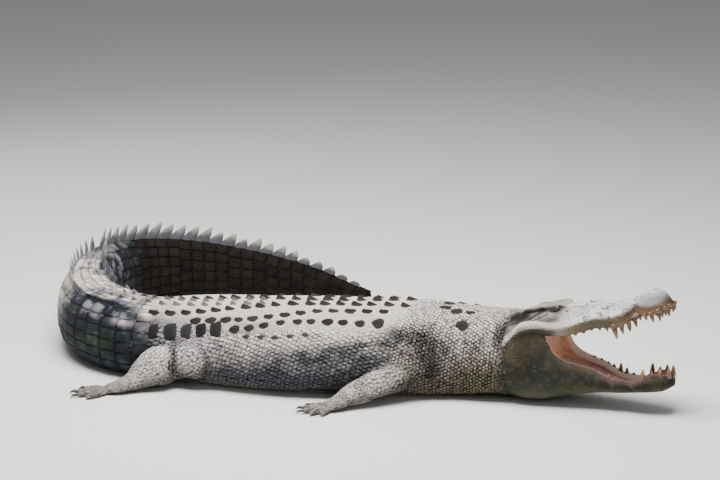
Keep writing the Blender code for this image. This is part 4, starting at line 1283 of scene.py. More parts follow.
backRows = {
    # arc from the midline, first and last station, half width across, how dark
    "inner": {"arc": measured((860, 24), (1100, 30), (1400, 34)),
        "from": 0.93, "to": 1.6, "wide": 0.0125, "dark": 0.75},
    "first": {"arc": measured((400, 46), (500, 34), (750, 32), (870, 40), (930, 53), (1050, 74),
        (1200, 94), (1340, 105)),
        "from": 0.40, "to": 1.36, "wide": 0.0205, "dark": 1.0},
    "second": {"arc": measured((500, 100), (700, 106), (760, 118), (820, 136), (900, 152), (1000, 163),
        (1080, 157), (1200, 146)),
        "from": 0.47, "to": 1.21, "wide": 0.022, "dark": 1.0},
    "third": {"arc": measured((430, 150), (500, 180), (700, 184), (840, 192), (900, 204), (1000, 216),
        (1060, 212)),
        "from": 0.42, "to": 1.05, "wide": 0.0225, "dark": 1.0},
    "fourth": {"arc": measured((700, 250), (840, 266), (970, 252)),
        "from": 0.69, "to": 1.0, "wide": 0.0115, "dark": 0.85},
}
# the scutes of the nape: along, arc, half width
napeScutes = ((0.215, 0.057, 0.02), (0.178, 0.132, 0.0215), (0.262, 0.03, 0.02), (0.16, 0.06, 0.012))
scutePitch = profile((0.4, 0.066), (0.6, 0.0625), (0.9, 0.0595), (1.05, 0.0535), (1.6, 0.0525))
hipPlates = {"arc": measured((1060, 225), (1120, 200), (1200, 193), (1350, 184)),
             "from": 1.123, "to": 1.37, "pitch": 0.0545}


def stationsOf(first, last):
    # the same stations for every row, so that the scutes stand in line across the back
    stations, along = [], 0.405
    while along < last:
        if along >= first:
            stations.append(along)
        along += float(scutePitch(along))
    return np.array(stations)


def makeBackScutes():
    parts = []
    for row, plan in backRows.items():
        for hand in (1, -1):
            along = stationsOf(plan["from"], plan["to"])
            arc = plan["arc"](along)
            along = along + 0.1 * arc + rng.normal(0, 0.0022, len(along))
            size = 1 + 0.07 * rng.normal(0, 1, len(along))
            front = ease(0.62, 0.46, along) if row == "third" else np.zeros(len(along))
            wide = plan["wide"] * size * (0.85 + 0.3 * front)
            long = np.minimum(0.0215 + 0.0025 * front, 0.42 * scutePitch(along)) * size
            long = long * (0.72 if row in ("inner", "fourth") else 1)
            high = 0.015 if row in ("inner", "first") else 0.0105
            sites = bodySites(along, hand * arc, long, wide, np.full(len(along), high), 0.02)
            sites["dark"] = np.full(len(sites["place"]), plan["dark"])
            sites["taper"] = np.full(len(sites["place"]), 0.25)
            parts.append(sites)
    for along, arc, wide in napeScutes:
        for hand in (1, -1):
            sites = bodySites(*(np.array([v]) for v in (along, hand * arc, 0.024, wide, 0.0065)), 0.02)
            sites["dark"], sites["taper"] = np.array([1.0]), np.array([0.2])
            parts.append(sites)
    sites = dress(gather(parts), 0.05)
    dark = np.array(tone["scute"]) * (1 + 0.15 * rng.normal(0, 1, (len(sites["place"]), 1)))
    pale = sites["tone"] * 0.55
    sites["tone"] = np.clip(pale + (dark - pale) * sites["dark"][:, None], 0.02, 0.7)
    sites["edge"] = sites["tone"] * 1.5
    layScales("backScutes", "keeled", sites, "scute", follow=True)
    return sites


scutes = makeBackScutes()


def clearOf(sites, others, gap=0.003):
    # drops what would lie under the larger scales already laid
    tree = treeOf(others["place"])
    keep = np.ones(len(sites["place"]), bool)
    for n, point in enumerate(sites["place"]):
        for spot, index, _ in tree.find_range(point, 0.045):
            delta = point - np.array(spot)
            back = others["back"][index] / np.linalg.norm(others["back"][index])
            x = delta @ back
            y = math.sqrt(max(delta @ delta - x * x, 0))
            long, wide = others["long"][index] + gap, others["wide"][index] + gap
            if (x / long) ** 2 + (y / wide) ** 2 < 1:
                keep[n] = False
    return only(sites, keep)


def makeHipPlates():
    parts = []
    for hand in (1, -1):
        along = np.arange(hipPlates["from"], hipPlates["to"], hipPlates["pitch"])
        arc = hipPlates["arc"](along)
        size = 1 + 0.09 * rng.normal(0, 1, len(along))
        grow = ease(1.05, 1.25, along)
        long, wide = (0.0172 + 0.0018 * grow) * size, (0.0275 + 0.003 * grow) * size
        parts.append(bodySites(along, hand * arc, long, wide, np.full(len(along), 0.0065), 0.03))
    sites = dress(gather(parts), 0.05)
    sites["tone"] = np.array(tone["hipPlate"]) * (1 + 0.2 * rng.normal(0, 1, (len(sites["place"]), 1)))
    sites["edge"] = sites["tone"] * 1.8
    sites["taper"] = rng.normal(0.1, 0.1, len(sites["place"]))
    sites["spin"] = rng.normal(0, 0.1, len(sites["place"]))
    layScales("hipPlates", "broad", sites, "scute", follow=True)
    return sites


hips = makeHipPlates()
large = gather([{k: sites[k] for k in ("place", "back", "long", "wide")} for sites in (scutes, hips)])


# small scales in rows

coarser = 1.0
scaleRows = {
    "backGrains": {"form": "grain", "pitch": 0.0108, "across": 1.0, "high": 0.0026,
                   "crease": 0.62, "top": 1.12, "vary": 0.2},
    "flankScales": {"form": "shingle", "pitch": 0.0205, "across": 0.72, "high": 0.0042,
                    "crease": 0.2, "top": 1.42, "vary": 0.3},
    "neckScales": {"form": "pebble", "pitch": 0.0138, "across": 1.0, "high": 0.0036,
                   "crease": 0.22, "top": 1.3, "vary": 0.4},
    "bellyPlates": {"form": "pebble", "pitch": 0.029, "across": 1.0, "high": 0.003,
                    "crease": 0.6, "top": 1.05, "vary": 0.1},
}


def rowsOver(key, first, last, arcFrom, arcTo, hand, slant=0.0):
    # staggered rows between two arcs, which may change along the body
    parts, pitch = [], scaleRows[key]["pitch"] * coarser
    step = pitch * scaleRows[key]["across"]
    for n, along in enumerate(np.arange(first, last, pitch * 0.9)):
        low, high = float(arcFrom(along)), float(arcTo(along))
        marks = np.arange(math.ceil(low / step) * step, high, step) + (0.5 * step if n % 2 else 0)
        marks = marks[marks < high]
        parts.append(np.column_stack((along + slant * marks, hand * marks)))
    return np.concatenate(parts)


def layRows(name, key, spots):
    plan = scaleRows[key]
    pitch, across = plan["pitch"] * coarser, plan["across"]
    count = len(spots)
    spots = spots + rng.normal(0, 0.075 * pitch, (count, 2)) * (1, across)
    size = 1 + 0.1 * rng.normal(0, 1, count)
    long, wide = 0.5 * pitch * 1.12 * size, 0.5 * pitch * across * size
    sites = clearOf(bodySites(spots[:, 0], spots[:, 1], long, wide, plan["high"] * size), large)
    groin = (np.abs(sites["along"] - 1.225) < 0.06) & (sites["place"][:, 2] < 0.215)
    sites = only(sites, ~(groin & (key == "flankScales")))
    sites["spin"] = rng.normal(0, 0.16, len(sites["place"]))
    sites = dress(sites, plan["vary"], plan["crease"], plan["top"])
    shrink = 1 - 0.2 * sites["marks"]["deep"]     # in the folds they stand further apart
    sites["long"], sites["wide"] = sites["long"] * shrink, sites["wide"] * shrink
    layScales(name, plan["form"], sites)


backEdge = measured((360, 200), (500, 215), (700, 225), (950, 235), (1100, 210), (1200, 170), (1340, 165))
middle = profile((0, 0.003), (4, 0.003))


def short(gap, *stations):
    # the edge that stays this far short of the belly's midline
    return profile(*((s, float(halfRound(s)) - gap) for s in stations))


flankEdge = short(0.24, 0.36, 0.5, 0.7, 0.9, 1.1, 1.34)
neckEdge = short(0.12, 0.0, 0.1, 0.2, 0.3, 0.42)
bellyEdges = short(0.23, 0.36, 0.5, 0.7, 0.9, 1.1, 1.34), short(0.004, 0.0, 0.36, 0.7, 1.0, 1.34)
for side, hand in (("Right", 1), ("Left", -1)):
    for key, *bounds in (
            ("backGrains", 0.4, 1.37, middle, backEdge, hand),
            ("flankScales", 0.36, 1.345, lambda s: backEdge(s) + 0.008, flankEdge, hand, 0.28),
            ("neckScales", 0.006, 0.4, middle, neckEdge, hand, 0.1),
            ("bellyPlates", 0.42, 1.34, *bellyEdges, hand)):
        layRows(key + side, key, rowsOver(key, *bounds))
print("body scales laid")


# the tail: rings of plates, and the crest that stands on them

tailLook = {"whorl": 0.0555, "plateHigh": 0.0048, "plateWidth": 0.043, "crestThick": 0.0065, "crestLean": 0.8,
            "crestFrom": 1.45, "crestTo": 3.585, "rows": 7, "columns": 6}


def makeTailPlates():
    parts = []
    rings = np.arange(body["tailStart"] + 0.01, 3.6, tailLook["whorl"])
    for along in rings:
        centre = along + 0.5 * tailLook["whorl"]
        around = float(halfRound(centre))
        crest = float(body["crestSide"](centre))
        start = crest + 0.012 if crest > 0.02 else 0.008
        rows = max(2, round((around - start) / tailLook["plateWidth"]))
        edges = np.linspace(start, around - 0.004, rows + 1)
        columns = max(1, round(start / 0.036)) if crest > 0.03 else 0
        inner = np.linspace(0, max(start - 0.016, 0), columns + 1)
        for low, high in [*zip(edges[:-1], edges[1:]), *zip(inner[:-1], inner[1:])]:
            if high - low < 0.006:
                continue
            for hand in (1, -1):
                half = 0.5 * (high - low) * 0.99
                parts.append((centre, hand * (low + high) / 2, 0.5 * tailLook["whorl"], half))
    along, arc, long, wide = np.array(parts).T
    along = along + rng.normal(0, 0.0008, len(along))
    high = tailLook["plateHigh"] * (0.45 + 0.55 * ease(3.64, 2.6, along))
    sites = clearOf(bodySites(along, arc, long, wide, high, 0.02), large, -0.006)
    layScales("tailPlates", "plate", dress(sites, 0.14, 0.4, 1.12), "tail", follow=True, fine=True)


def crestFlap(root, back, up, across, length, tall, thick):
    # one leaning, pointed flap of the crest, keeled down its middle
    rings = []
    for i in range(tailLook["rows"] + 1):
        rise = i / tailLook["rows"]
        chord = length * (1 - 0.86 * rise ** 1.9)
        lean = tailLook["crestLean"] * tall * rise ** 1.3
        line = []
        for j in range(tailLook["columns"] + 1):
            u = j / tailLook["columns"]
            fullness = math.sin(math.pi * min(max(u, 0.03), 0.97)) ** 0.6
            sunk = tall * rise - 0.006 - 0.1 * tall * (u - 0.5) ** 2
            spot = root + back * (lean + (u - 0.42) * chord) + up * sunk
            line.append((spot, across * thick * (1 - 0.72 * rise) * fullness))
        rings.append([p + t for p, t in line] + [p - t for p, t in reversed(line)])
    return loft(np.array(rings))


def makeCrest():
    shapes, charts = [], []
    first, last = tailLook["crestFrom"], tailLook["crestTo"]
    twin = 0.012     # nearer the midline than this, the two crests are one
    for along in np.arange(first, last, tailLook["whorl"]):
        side, tall = float(body["crestSide"](along)), float(body["crestHeight"](along))
        row = chartRow(along)
        top = float(np.interp(side, chartSide[row, :120], chartHeight[row, :120]))     # the upper half
        for hand in ((1, -1) if side > twin else (1,)):
            offset = hand * side if side > twin else 0.0
            root = place(along - 0.01, offset, top - 0.002)
            back = place(along + 0.02, offset, 0) - place(along - 0.02, offset, 0)
            length = np.linalg.norm(back) / 0.04 * tailLook["whorl"] * 1.3
            back = unit(back)
            across = np.cross(upright, back)
            outward = across * (1 if across @ (place(along, 1, 0) - place(along, 0, 0)) > 0 else -1) * hand
            up = unit(upright + 0.22 * outward * (side > twin))
            rise = max(tall * 0.97 * (1 + 0.1 * rng.normal()), 0.01)
            thick = tailLook["crestThick"] * (0.55 + 6 * tall)
            shapes.append(crestFlap(root, back, up, across, length, rise, thick))
            charts.append((along, hand))
    made, points = solidFrom("tailCrest", shapes)
    marks = hideMarks(points, normalsOf(made))
    along, height = marks["along"], marks["height"]
    rise = np.clip((height - body["top"](along)) / np.maximum(body["crestHeight"](along), 0.01), 0, 1)
    tones = blend(marks["tone"], tone["crestSide"], ease(1.7, 2.1, along) * 0.7)
    rise = rise + 0.4 * (cloudNoise(points, 0.02, 9) - 0.5)
    tones = blend(tones, tone["crestTip"], ease(0.42, 1.0, rise) * 0.85)
    paintAll(made, tones, 0.1)
    each = len(shapes[0][0])
    chart = made.uv_layers.new(name="OFBake")
    corners = np.empty(len(made.loops), np.int32)
    made.loops.foreach_get("vertex_index", corners)
    roots = np.array([(0.02 + 0.96 * (a - 1.4) / 2.24, 0.5 + 0.3 * h) for a, h in charts])
    around, levels = 2 * (tailLook["columns"] + 1), tailLook["rows"] + 1
    local = np.array([((k % around) / around - 0.5, (k // around) / levels - 0.5) for k in range(each)])
    flat = (roots[:, None] + local[None] * 2 * chartHalf).reshape(-1, 2)
    chart.data.foreach_set("uv", flat[corners].astype(np.float32).ravel())
    addPiece("tailCrest", made, finish["tail"])


makeTailPlates()
makeCrest()
print("tail laid")


# small scales spread over legs, feet and face

skinFaces = hideMarks(skinMap.middle, skinMap.normals[skinMap.corners].mean(1))
faceNormals = skinMap.normals[skinMap.corners].mean(1)


def layOver(name, form, chosen, spacing, high, direction, shades, spacingOf=None, look="scale"):
    # shades: how much tone varies from scale to scale, tone of the edges, tone of the tops
    spacingOf = None if spacingOf is None else spacingOf * coarser
    places, normals, limit = spread(chosen, spacing * coarser, spacingOf)
    count, stretch = len(places), 1.15
    size = roomAround(places, limit) * (1.03 + 0.04 * rng.normal(0, 1, count))
    sites = {"place": places, "normal": normals, "back": direction(places), "long": size * stretch,
             "wide": size / stretch ** 0.5, "high": np.minimum(high, 0.42 * size),
             "spin": rng.normal(0, 0.25, count), "curve": np.full(count, 0.08)}
    layScales(name, form, dress(sites, *shades), look)


def tailward(places):
    along, side, _ = readPlace(places)
    return place(along + 0.01, side, 0) - place(along - 0.01, side, 0)


def footward(leg):
    line = leg["line"]

    def direction(places):
        nearest = ((places[:, None] - line["middle"][None]) ** 2).sum(-1).argmin(1)
        return line["forward"][nearest]

    return direction


def nearLeg(leg, points):
    line = leg["line"]
    found = np.zeros(len(points), bool)
    inside = np.flatnonzero((np.abs(points - line["middle"].mean(0)) < 0.4).all(1))

    def gapsTo(marks):
        return np.sqrt(((points[inside, None] - marks[None]) ** 2).sum(-1))

    tips = np.array([d["root"] + d["aim"] * d["length"] * 0.6 for d in leg["digits"]])
    reach = 1.35 * np.maximum(line["wide"], line["tall"]) + 0.012
    found[inside] = ((gapsTo(line["middle"]) / reach).min(1) < 1) | (gapsTo(tips).min(1) < 0.06)
    return found


legLook = {"spacing": 0.0112, "high": 0.0026, "footSpacing": 0.0068, "footHigh": 0.0019}
for name, leg in legs.items():
    line = leg["line"]
    ankle = np.searchsorted(line["at"], line["ankle"])
    past = (skinMap.middle - line["middle"][ankle]) @ line["forward"][ankle]
    standing = nearLeg(leg, skinMap.middle) & (skinFaces["limb"] > 0.35) & (faceNormals[:, 2] > -0.75)
    pitchOf = legLook["spacing"] * (1 - 0.36 * ease(-0.1, 0.01, past))
    shades = (0.24, 0.34, 1.04) if name.startswith("fore") else (0.24, 0.46, 1.16)
    layOver(name + "LegScales", "round", standing & (past < 0.0), legLook["spacing"], legLook["high"],
            footward(leg), shades, pitchOf)
    layOver(name + "FootScales", "grain", standing & (past >= 0.0), legLook["footSpacing"],
            legLook["footHigh"], footward(leg), (0.2, 0.5, 1.1))


faceLook = {"spacing": 0.0057, "high": 0.00045}
ahead, height = -skinFaces["along"], skinFaces["height"]
lipLine = head["lip"](ahead)
rimLine = head["rim"](ahead)
outer = (ahead > -0.004) & ~skinFaces["lining"] & (faceNormals[:, 2] > -0.93)
eyeGap = np.sqrt((ahead - 0.17) ** 2 + (np.abs(skinFaces["side"]) - 0.085) ** 2 + (height - 0.355) ** 2)
lowerFace = height < (lipLine + np.minimum(rimLine, lipLine)) / 2 + 0.004
edgeGap = np.where(lowerFace, np.abs(height - rimLine), np.abs(height - lipLine))
outer &= (eyeGap > 0.024) & ((edgeGap > 0.006) | (ahead < 0.17))
faceSpacing = faceLook["spacing"] * (1 + 0.25 * ease(0.1, 0.0, ahead) - 0.25 * ease(0.06, 0.03, eyeGap))
layOver("upperFaceScales", "grain", outer & ~lowerFace, faceLook["spacing"], faceLook["high"], tailward,
        (0.06, 0.9, 1.03), faceSpacing)
layOver("jawScales", "grain", outer & lowerFace, faceLook["spacing"] * 1.1, faceLook["high"], tailward,
        (0.1, 0.8, 1.06), faceSpacing * 1.1, "tail")


smallReach = 0.0115     # half size that parts small scales from large ones


def bareFaces():
    # faces of the skin that no scale reaches yet
    bare = (skinFaces["along"] > -0.012) & (faceNormals[:, 2] > -0.75)
    for small in (True, False):
        chosen = [(p[(r < smallReach) == small], r[(r < smallReach) == small]) for p, r in laid]
        places, reach = (np.concatenate(v) for v in zip(*chosen))
        tree = treeOf(places)
        for n in np.flatnonzero(bare):
            _, index, gap = tree.find(skinMap.middle[n])
            bare[n] = gap > 1.3 * reach[index]
    return bare


looseLook = {"spacing": 0.0088, "high": 0.0022}
layOver("looseScales", "grain", bareFaces(), looseLook["spacing"], looseLook["high"], tailward,
        (0.12, 0.55, 1.12))
print("legs, feet and face laid")


# teeth, gums and tongue

teeth = {
    # list: how far ahead each tooth stands, and its length
    "upper": {"list": ((0.228, 0.007), (0.256, 0.007), (0.284, 0.008), (0.312, 0.008), (0.34, 0.01),
                       (0.366, 0.016), (0.394, 0.042), (0.42, 0.032), (0.441, 0.016), (0.5, 0.022),
                       (0.522, 0.03), (0.545, 0.036), (0.565, 0.028), (0.576, 0.022)),
              "width": "upperWidth", "edge": "lip", "lean": 0.3, "up": -1, "sink": 0.001,
              "worn": 1, "pale": 1},
    "lower": {"list": ((0.27, 0.007), (0.3, 0.007), (0.328, 0.009), (0.35, 0.012), (0.376, 0.028),
                       (0.4, 0.024), (0.428, 0.01), (0.46, 0.012), (0.497, 0.038), (0.528, 0.016),
                       (0.556, 0.022), (0.583, 0.03)),
              "width": "lowerWidth", "edge": "rim", "lean": 0.04, "up": 1, "sink": -0.002, "worn": 0.4,
              "pale": 1.6},
    "around": 14, "rows": 11,
    # the teeth are stained brown, partly darkened as painted shade; pale lightens the lower ones as painted
    # light
    "root": (0.12, 0.06, 0.024), "crown": (0.24, 0.135, 0.05), "tip": (0.33, 0.21, 0.1),
}


def toothPlaces(jaw):
    plan = teeth[jaw]
    for ahead, length in plan["list"]:
        for hand in (1, -1):
            worn = plan["worn"] if hand == 1 and ahead < 0.48 else 1
            side = hand * (read(plan["width"], ahead) * 0.93 - 0.008)
            root = place(-ahead, side, read(plan["edge"], ahead) + plan["sink"])
            front = place(-ahead - 1, side, 0) - place(-ahead, side, 0)
            outward = place(-ahead, side + hand, 0) - place(-ahead, side, 0)
            aim = upright * plan["up"] + front * plan["lean"] + outward * 0.12
            yield ahead, length * worn, root, unit(aim), outward


def toothShape(root, aim, outward, length, radius):
    # a curved, slightly flattened cone with a worn tip
    share = np.concatenate([np.linspace(-0.35, 0.85, teeth["rows"]), [0.95, 1.0]])
    size = np.where(share < 0, 1.0, (1 - np.clip(share, 0, 1) ** 1.9) ** 0.8 * 0.88 + 0.12)
    across = unit(np.cross(aim, outward))
    over = np.cross(across, aim)
    turn = circle(teeth["around"])
    bend = -outward * 0.16 * length * np.clip(share, 0, 1)[:, None] ** 2
    middle = root + aim * length * share[:, None] + bend
    swing = across * np.cos(turn) * 1.06 + over * np.sin(turn) * 0.94
    ring = middle[:, None] + radius * size[:, None, None] * swing
    return loft(ring), np.concatenate([np.repeat(share, teeth["around"]), [share[0], 1.0]])


def makeTeeth(jaw):
    shapes, shares, toothStainsAndLight = [], [], []
    for _, length, root, aim, outward in toothPlaces(jaw):
        length *= 1 + 0.05 * rng.normal()
        shape, share = toothShape(root, aim, outward, length, 0.0042 + 0.122 * length)
        shapes.append(shape)
        shares.append(share)
        toothStainsAndLight.append(np.full(len(share), (0.8 + 0.35 * rng.random()) * teeth[jaw]["pale"]))
    made, _ = solidFrom(jaw + "Teeth", shapes)
    share, toothStainAndLight = np.concatenate(shares), np.concatenate(toothStainsAndLight)
    tones = blend(teeth["root"], teeth["crown"], ease(0.1, 0.6, share))
    tones = blend(tones, teeth["tip"], ease(0.65, 1.0, share) * 0.8) * toothStainAndLight[:, None]
    paintAll(made, tones, 0.3)
    addPiece(jaw + "Teeth", made, finish["tooth"])


# rise and size of each ring of the collar, for the tooth's radius
gumLook = {"rise": (-0.9, -0.2, 0.25, 0.55, 0.62, 0.3), "size": (1.9, 1.8, 1.6, 1.35, 1.12, 0.9),
           "slim": {"upper": 1, "lower": 0.82}, "lower": (0.15, 0.095, 0.07), "shade": (0.13, 0.08, 0.045)}


def makeGums():
    # a swollen collar of gum round the root of each tooth
    shapes, tones = [], []
    turn = circle(16)
    for jaw in ("upper", "lower"):
        for ahead, length, root, aim, outward in toothPlaces(jaw):
            radius = 0.004 + 0.115 * length
            across = unit(np.cross(aim, outward))
            over = np.cross(across, aim)
            rise = np.array(gumLook["rise"])[:, None, None] * radius * 1.3
            size = np.array(gumLook["size"])[:, None, None] * radius * gumLook["slim"][jaw]
            shapes.append(loft(root + aim * rise + size * (across * np.cos(turn) + over * np.sin(turn))))
            base = np.array(gumLook["lower"])
            if jaw == "upper":
                base = blend(tone["lipBrown"], tone["gum"], ease(0.38, 0.46, ahead))
            shade = blend(base * (0.75 + 0.4 * rng.random()), gumLook["shade"], 0.5 * rng.random())
            tones.append(np.tile(shade, (len(shapes[-1][0]), 1)))
    made, _ = solidFrom("gums", shapes)
    paintAll(made, np.concatenate(tones), 0.6)
    addPiece("gums", made, finish["flesh"])


tongueLook = {"from": 0.155, "to": 0.435, "thick": 0.014,
              "tone": (0.56, 0.3, 0.2), "edge": (0.36, 0.15, 0.12)}


def makeTongue():
    # a broad pad lying in the floor of the mouth, with a furrow and small bumps
    rings, shares = [], []
    for ahead in np.linspace(tongueLook["from"], tongueLook["to"], 70):
        rim = min(read("rim", ahead), read("lip", ahead))
        floor = min(read("floor", ahead), rim - 0.004)
        share = (ahead - 0.15) / 0.29
        half = read("lowerWidth", ahead) * 0.46 * min(1, 0.75 + share, 2.2 * (1.03 - share))
        fade = min(1, 0.02 + 3.2 * share, 4 * (1.06 - share))
        thick = tongueLook["thick"] * fade
        turn = np.linspace(0, 2 * math.pi, 48, endpoint=False)
        side = np.sign(np.sin(turn)) * half * np.abs(np.sin(turn)) ** 0.75
        bed = floor + 0.12 * fade * (rim - floor) * np.abs(side) / (0.5 * read("lowerWidth", ahead))
        bed = bed + 0.001 - 0.012 * (1 - fade) ** 2
        rise = thick * (0.5 + 0.5 * np.sign(np.cos(turn)) * np.abs(np.cos(turn)) ** 0.6)
        bumps = np.sin(260 * side + 190 * ahead) * np.sin(230 * ahead)
        furrow = 0.0025 * np.exp(-((side / 0.006) ** 2)) + 0.0008 * bumps
        rings.append(place(-ahead, side, bed + np.maximum(rise - furrow * (np.cos(turn) > 0), 0)))
        shares.append(np.abs(side) / half)
    made, points = solidFrom("tonguePad", [loft(np.array(rings))])
    share = np.concatenate([*shares, [0, 0]])
    tones = blend(tongueLook["tone"], tongueLook["edge"], share ** 2)
    paintAll(made, tones * (0.8 + 0.4 * cloudNoise(points, 0.018, 8))[:, None], 0.75)
    piece = addPiece("tonguePad", made, finish["flesh"])
    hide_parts("tongue")


makeTeeth("upper")
makeTeeth("lower")
makeGums()
makeTongue()
print("teeth, gums and tongue made")


# eyes and lids

eyeLook = {
    "ahead": 0.17, "side": 0.078, "height": 0.353, "radius": 0.0162,
    "out": 0.9, "up": 0.38, "front": 0.22,     # where the eye looks
    # painted shade: the iris and the white are painted very dark, as if under the brow
    "iris": (0.055, 0.04, 0.014), "irisEdge": (0.022, 0.017, 0.009),
    "white": (0.016, 0.012, 0.009), "slit": (0.004, 0.004, 0.004),
    "lidHalf": 1.02, "lidOpen": 0.22, "lidTone": (0.3, 0.275, 0.25), "lidShade": (0.03, 0.026, 0.023),
    # how far each ring of the lid stands from the opening, and its radius for the ball's
    "lidRings": ((0.0, 0.97), (0.0, 1.02), (0.05, 1.05), (0.13, 1.07), (0.27, 1.04), (0.42, 1.06),
                 (0.62, 1.03), (0.8, 1.02), (1.0, 0.97), (1.15, 0.86)),
    "lidSteps": 72,
}


def eyeFrame(hand):
    # the eye's centre, then where it looks, and forward and up across it
    centre = place(-eyeLook["ahead"], hand * eyeLook["side"], eyeLook["height"])
    front = unit(place(-1.0, 0, 0) - place(0, 0, 0))
    right = unit((place(0, hand, 0) - place(0, 0, 0)) * (1, 1, 0))
    look = unit(right * eyeLook["out"] + upright * eyeLook["up"] + front * eyeLook["front"])
    forward = unit(front - look * (front @ look))
    upward = np.cross(look, forward)
    return centre, look, forward, upward if upward[2] > 0 else -upward


def bearing(axes, polar, turn):
    # directions at an angle from where the eye looks, and round it
    look, forward, upward = axes
    out, flat = np.cos(polar)[..., None], np.sin(polar)
    return look * out + forward * (flat * np.cos(turn))[..., None] + upward * (flat * np.sin(turn))[..., None]


def makeEye(name, node, hand):
    centre, *axes = eyeFrame(hand)
    polar, turn = np.meshgrid(np.linspace(0.0, math.pi, 49)[1:-1], circle(64)[0, :, 0], indexing="ij")
    ball = bearing(axes, polar, turn) * (1 + 0.035 * np.exp(-((polar / 0.5) ** 2)))[..., None]
    made, points = solidFrom(name, [loft(centre + eyeLook["radius"] * ball)])
    out, across, rise = ((points - centre) / eyeLook["radius"] @ axis for axis in axes)
    tilt = np.sqrt(across ** 2 + rise ** 2)
    streak = 0.5 + 0.5 * np.sin(23 * np.arctan2(rise, across))
    iris = np.array(eyeLook["iris"]) * (0.75 + 0.5 * streak)[:, None]
    tones = blend(iris, eyeLook["irisEdge"], ease(0.4, 0.62, tilt))
    tones = blend(tones, eyeLook["white"], ease(0.62, 0.7, tilt))
    slit = ease(0.115, 0.07, np.abs(across) + 0.12 * (rise / 0.55) ** 2)
    slit = slit * ease(0.6, 0.5, np.abs(rise)) * (out > 0)
    paintAll(made, blend(tones, eyeLook["slit"], slit), 0.0)
    piece = addPiece(name, made, finish["eye"])
    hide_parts(node)


def lidPart(hand):
    # a shell of skin over the ball with an almond opening, its edge rolled in
    centre, *axes = eyeFrame(hand)
    steps = eyeLook["lidSteps"]
    turn = circle(steps)[0, :, 0]
    opening = eyeLook["lidOpen"] * np.where(np.sin(turn) > 0, 0.8, 1.15)
    across = np.cos(turn) * eyeLook["lidHalf"]
    rise = np.sin(turn) * opening * (1 - 0.35 * np.cos(turn) ** 2)
    edge = np.sqrt(across ** 2 + rise ** 2)
    around = np.arctan2(rise, across)
    rings, tones = [], []
    for reach, radius in eyeLook["lidRings"]:
        polar = np.minimum(edge + (1.5 - edge) * reach, 1.75)
        brow = 1 + 0.03 * (np.sin(around) > 0) * np.sin(around) * ease(0.1, 0.5, reach)
        rings.append(centre + eyeLook["radius"] * radius * brow[:, None] * bearing(axes, polar, around))
        shade = min(ease(0.22, 0.08, reach) + 0.6 * math.exp(-(((reach - 0.3) / 0.07) ** 2)), 1.0)
        under = 0.85 * ease(0.35, -0.1, np.sin(around)) * ease(1.05, 0.7, reach)
        tones.append(blend(eyeLook["lidTone"], eyeLook["lidShade"], np.maximum(under, shade)))
    rings, tones = np.array(rings), np.array(tones)
    # the shell has a back, so it is a closed body
    whole = np.concatenate([rings, centre + (rings[::-1] - centre) * 0.93])
    polygons = []
    for i in range(len(whole)):
        this, following = i * steps, (i + 1) % len(whole) * steps
        for j in range(steps):
            other = (j + 1) % steps
            polygons.append((this + j, following + j, following + other, this + other))
    return (whole.reshape(-1, 3), polygons), np.concatenate([tones, tones[::-1]]).reshape(-1, 3)


def makeLids():
    parts = [lidPart(hand) for hand in (1, -1)]
    made, _ = solidFrom("eyelids", [shape for shape, _ in parts])
    paintAll(made, np.concatenate([tones for _, tones in parts]), 0.25)
    addPiece("eyelids", made, finish["skin"])


makeEye("eyeRight", "eye_right", 1)
makeEye("eyeLeft", "eye_left", -1)
makeLids()


# claws

clawLook = {"length": 0.026, "around": 18, "root": (0.075, 0.062, 0.052), "tip": (0.19, 0.16, 0.125),
            "lift": profile((-0.25, 0.0105), (0.3, 0.0118), (0.6, 0.0103), (1.0, 0.0032))}


def makeClaws():
    shapes, shares, nodes = [], [], []
    for name, leg in legs.items():
        kind, side = name[:4], name[4:].lower()
        radius = digits[kind]["radius"] * 0.5
        for number, line in enumerate(leg["digits"], 1):
            if not line["clawed"]:
                continue
            share = np.linspace(-0.25, 1, 16)
            size = np.where(share < 0, 0.95, (1 - np.clip(share, 0, 1) ** 1.7) ** 0.75 * 0.94 + 0.06)
            reach = line["length"] + clawLook["length"] * share
            ring = alongDigit(line, reach, share, clawLook["lift"], radius * size, (0.86, 1),
                              clawLook["around"])
            ring[..., 2] = np.maximum(ring[..., 2], 0.0006)
            shapes.append(loft(ring))
            shares.append(np.concatenate([np.repeat(share, clawLook["around"]), [share[0], 1.0]]))
            nodes.append(f"{kind}claw_{side}_{number}")
    made, _ = solidFrom("claws", shapes)
    paintAll(made, blend(clawLook["root"], clawLook["tip"], ease(0.5, 1.0, np.concatenate(shares))), 0.2)
    piece = addPiece("claws", made, finish["claw"])
    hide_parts(*nodes)


makeClaws()
print("eyes, lids and claws made")


# floor, light and camera

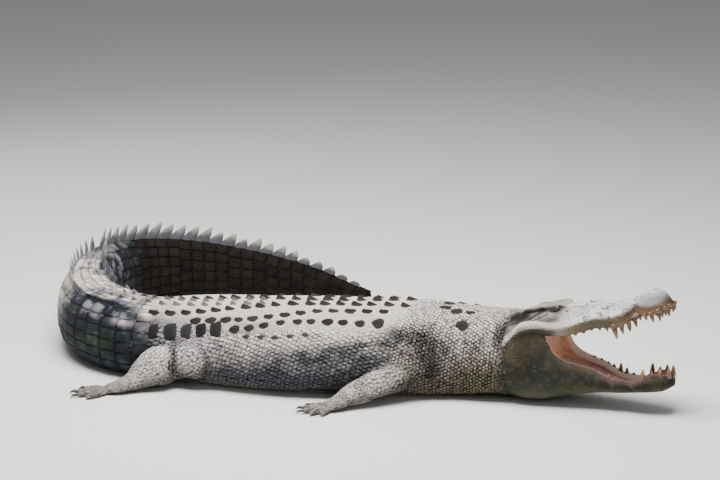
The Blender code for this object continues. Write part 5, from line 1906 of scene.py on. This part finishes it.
stage = {
    "floorTone": (0.74, 0.73, 0.7), "floorHalf": 15, "floorHeight": -0.0006,
    "camera": (0.0415, -8.0734, 2.339), "down": 13.262, "lens": 106,
    "lights": {
        # place, size, power, target
        "overhead": ((-0.4, -1.1, 4.4), (3.4, 2.4), 550, (0, 0.0, 0.1)),
        "front": ((2.4, -5.2, 2.6), (3.0, 2.2), 26, (0.3, -0.5, 0.2)),
        "back": ((-2.6, 3.6, 2.8), (3.0, 1.6), 40, (-0.3, 0.2, 0.2)),
    },
    "sky": (0.82, 0.86, 0.92), "skyStrength": 0.28,
}


def setStage():
    corners = [(x, y, 0) for x, y in ((-1, -1), (1, -1), (1, 1), (-1, 1))]
    points = np.array(corners) * stage["floorHalf"] + (0, 0, stage["floorHeight"])
    made = meshFrom("floor", points, [(0, 1, 2, 3)])
    floor = bpy.data.objects.new("floor", made)
    bpy.context.scene.collection.objects.link(floor)
    paper = bpy.data.materials.new("floorPaper")
    paper.use_nodes = True
    shader = paper.node_tree.nodes["Principled BSDF"]
    shader.inputs["Base Color"].default_value = (*stage["floorTone"], 1)
    shader.inputs["Roughness"].default_value = 0.9
    made.materials.append(paper)
    for name, (spot, size, power, target) in stage["lights"].items():
        lamp = bpy.data.lights.new(name, "AREA")
        lamp.shape, lamp.size, lamp.size_y, lamp.energy = "RECTANGLE", size[0], size[1], power
        holder = bpy.data.objects.new(name, lamp)
        holder.location = spot
        holder.rotation_euler = (Vector(target) - Vector(spot)).to_track_quat("-Z", "Y").to_euler()
        bpy.context.scene.collection.objects.link(holder)
    world = bpy.data.worlds.new("studio")
    world.use_nodes = True
    world.node_tree.nodes["Background"].inputs["Color"].default_value = (*stage["sky"], 1)
    world.node_tree.nodes["Background"].inputs["Strength"].default_value = stage["skyStrength"]
    bpy.context.scene.world = world
    lens = bpy.data.cameras.new("camera")
    lens.lens, lens.sensor_width = stage["lens"], 36
    camera = bpy.data.objects.new("camera", lens)
    camera.location = stage["camera"]
    camera.rotation_euler = (math.radians(90 - stage["down"]), 0, 0)
    bpy.context.scene.collection.objects.link(camera)
    bpy.context.scene.camera = camera


setStage()
print("stage set")
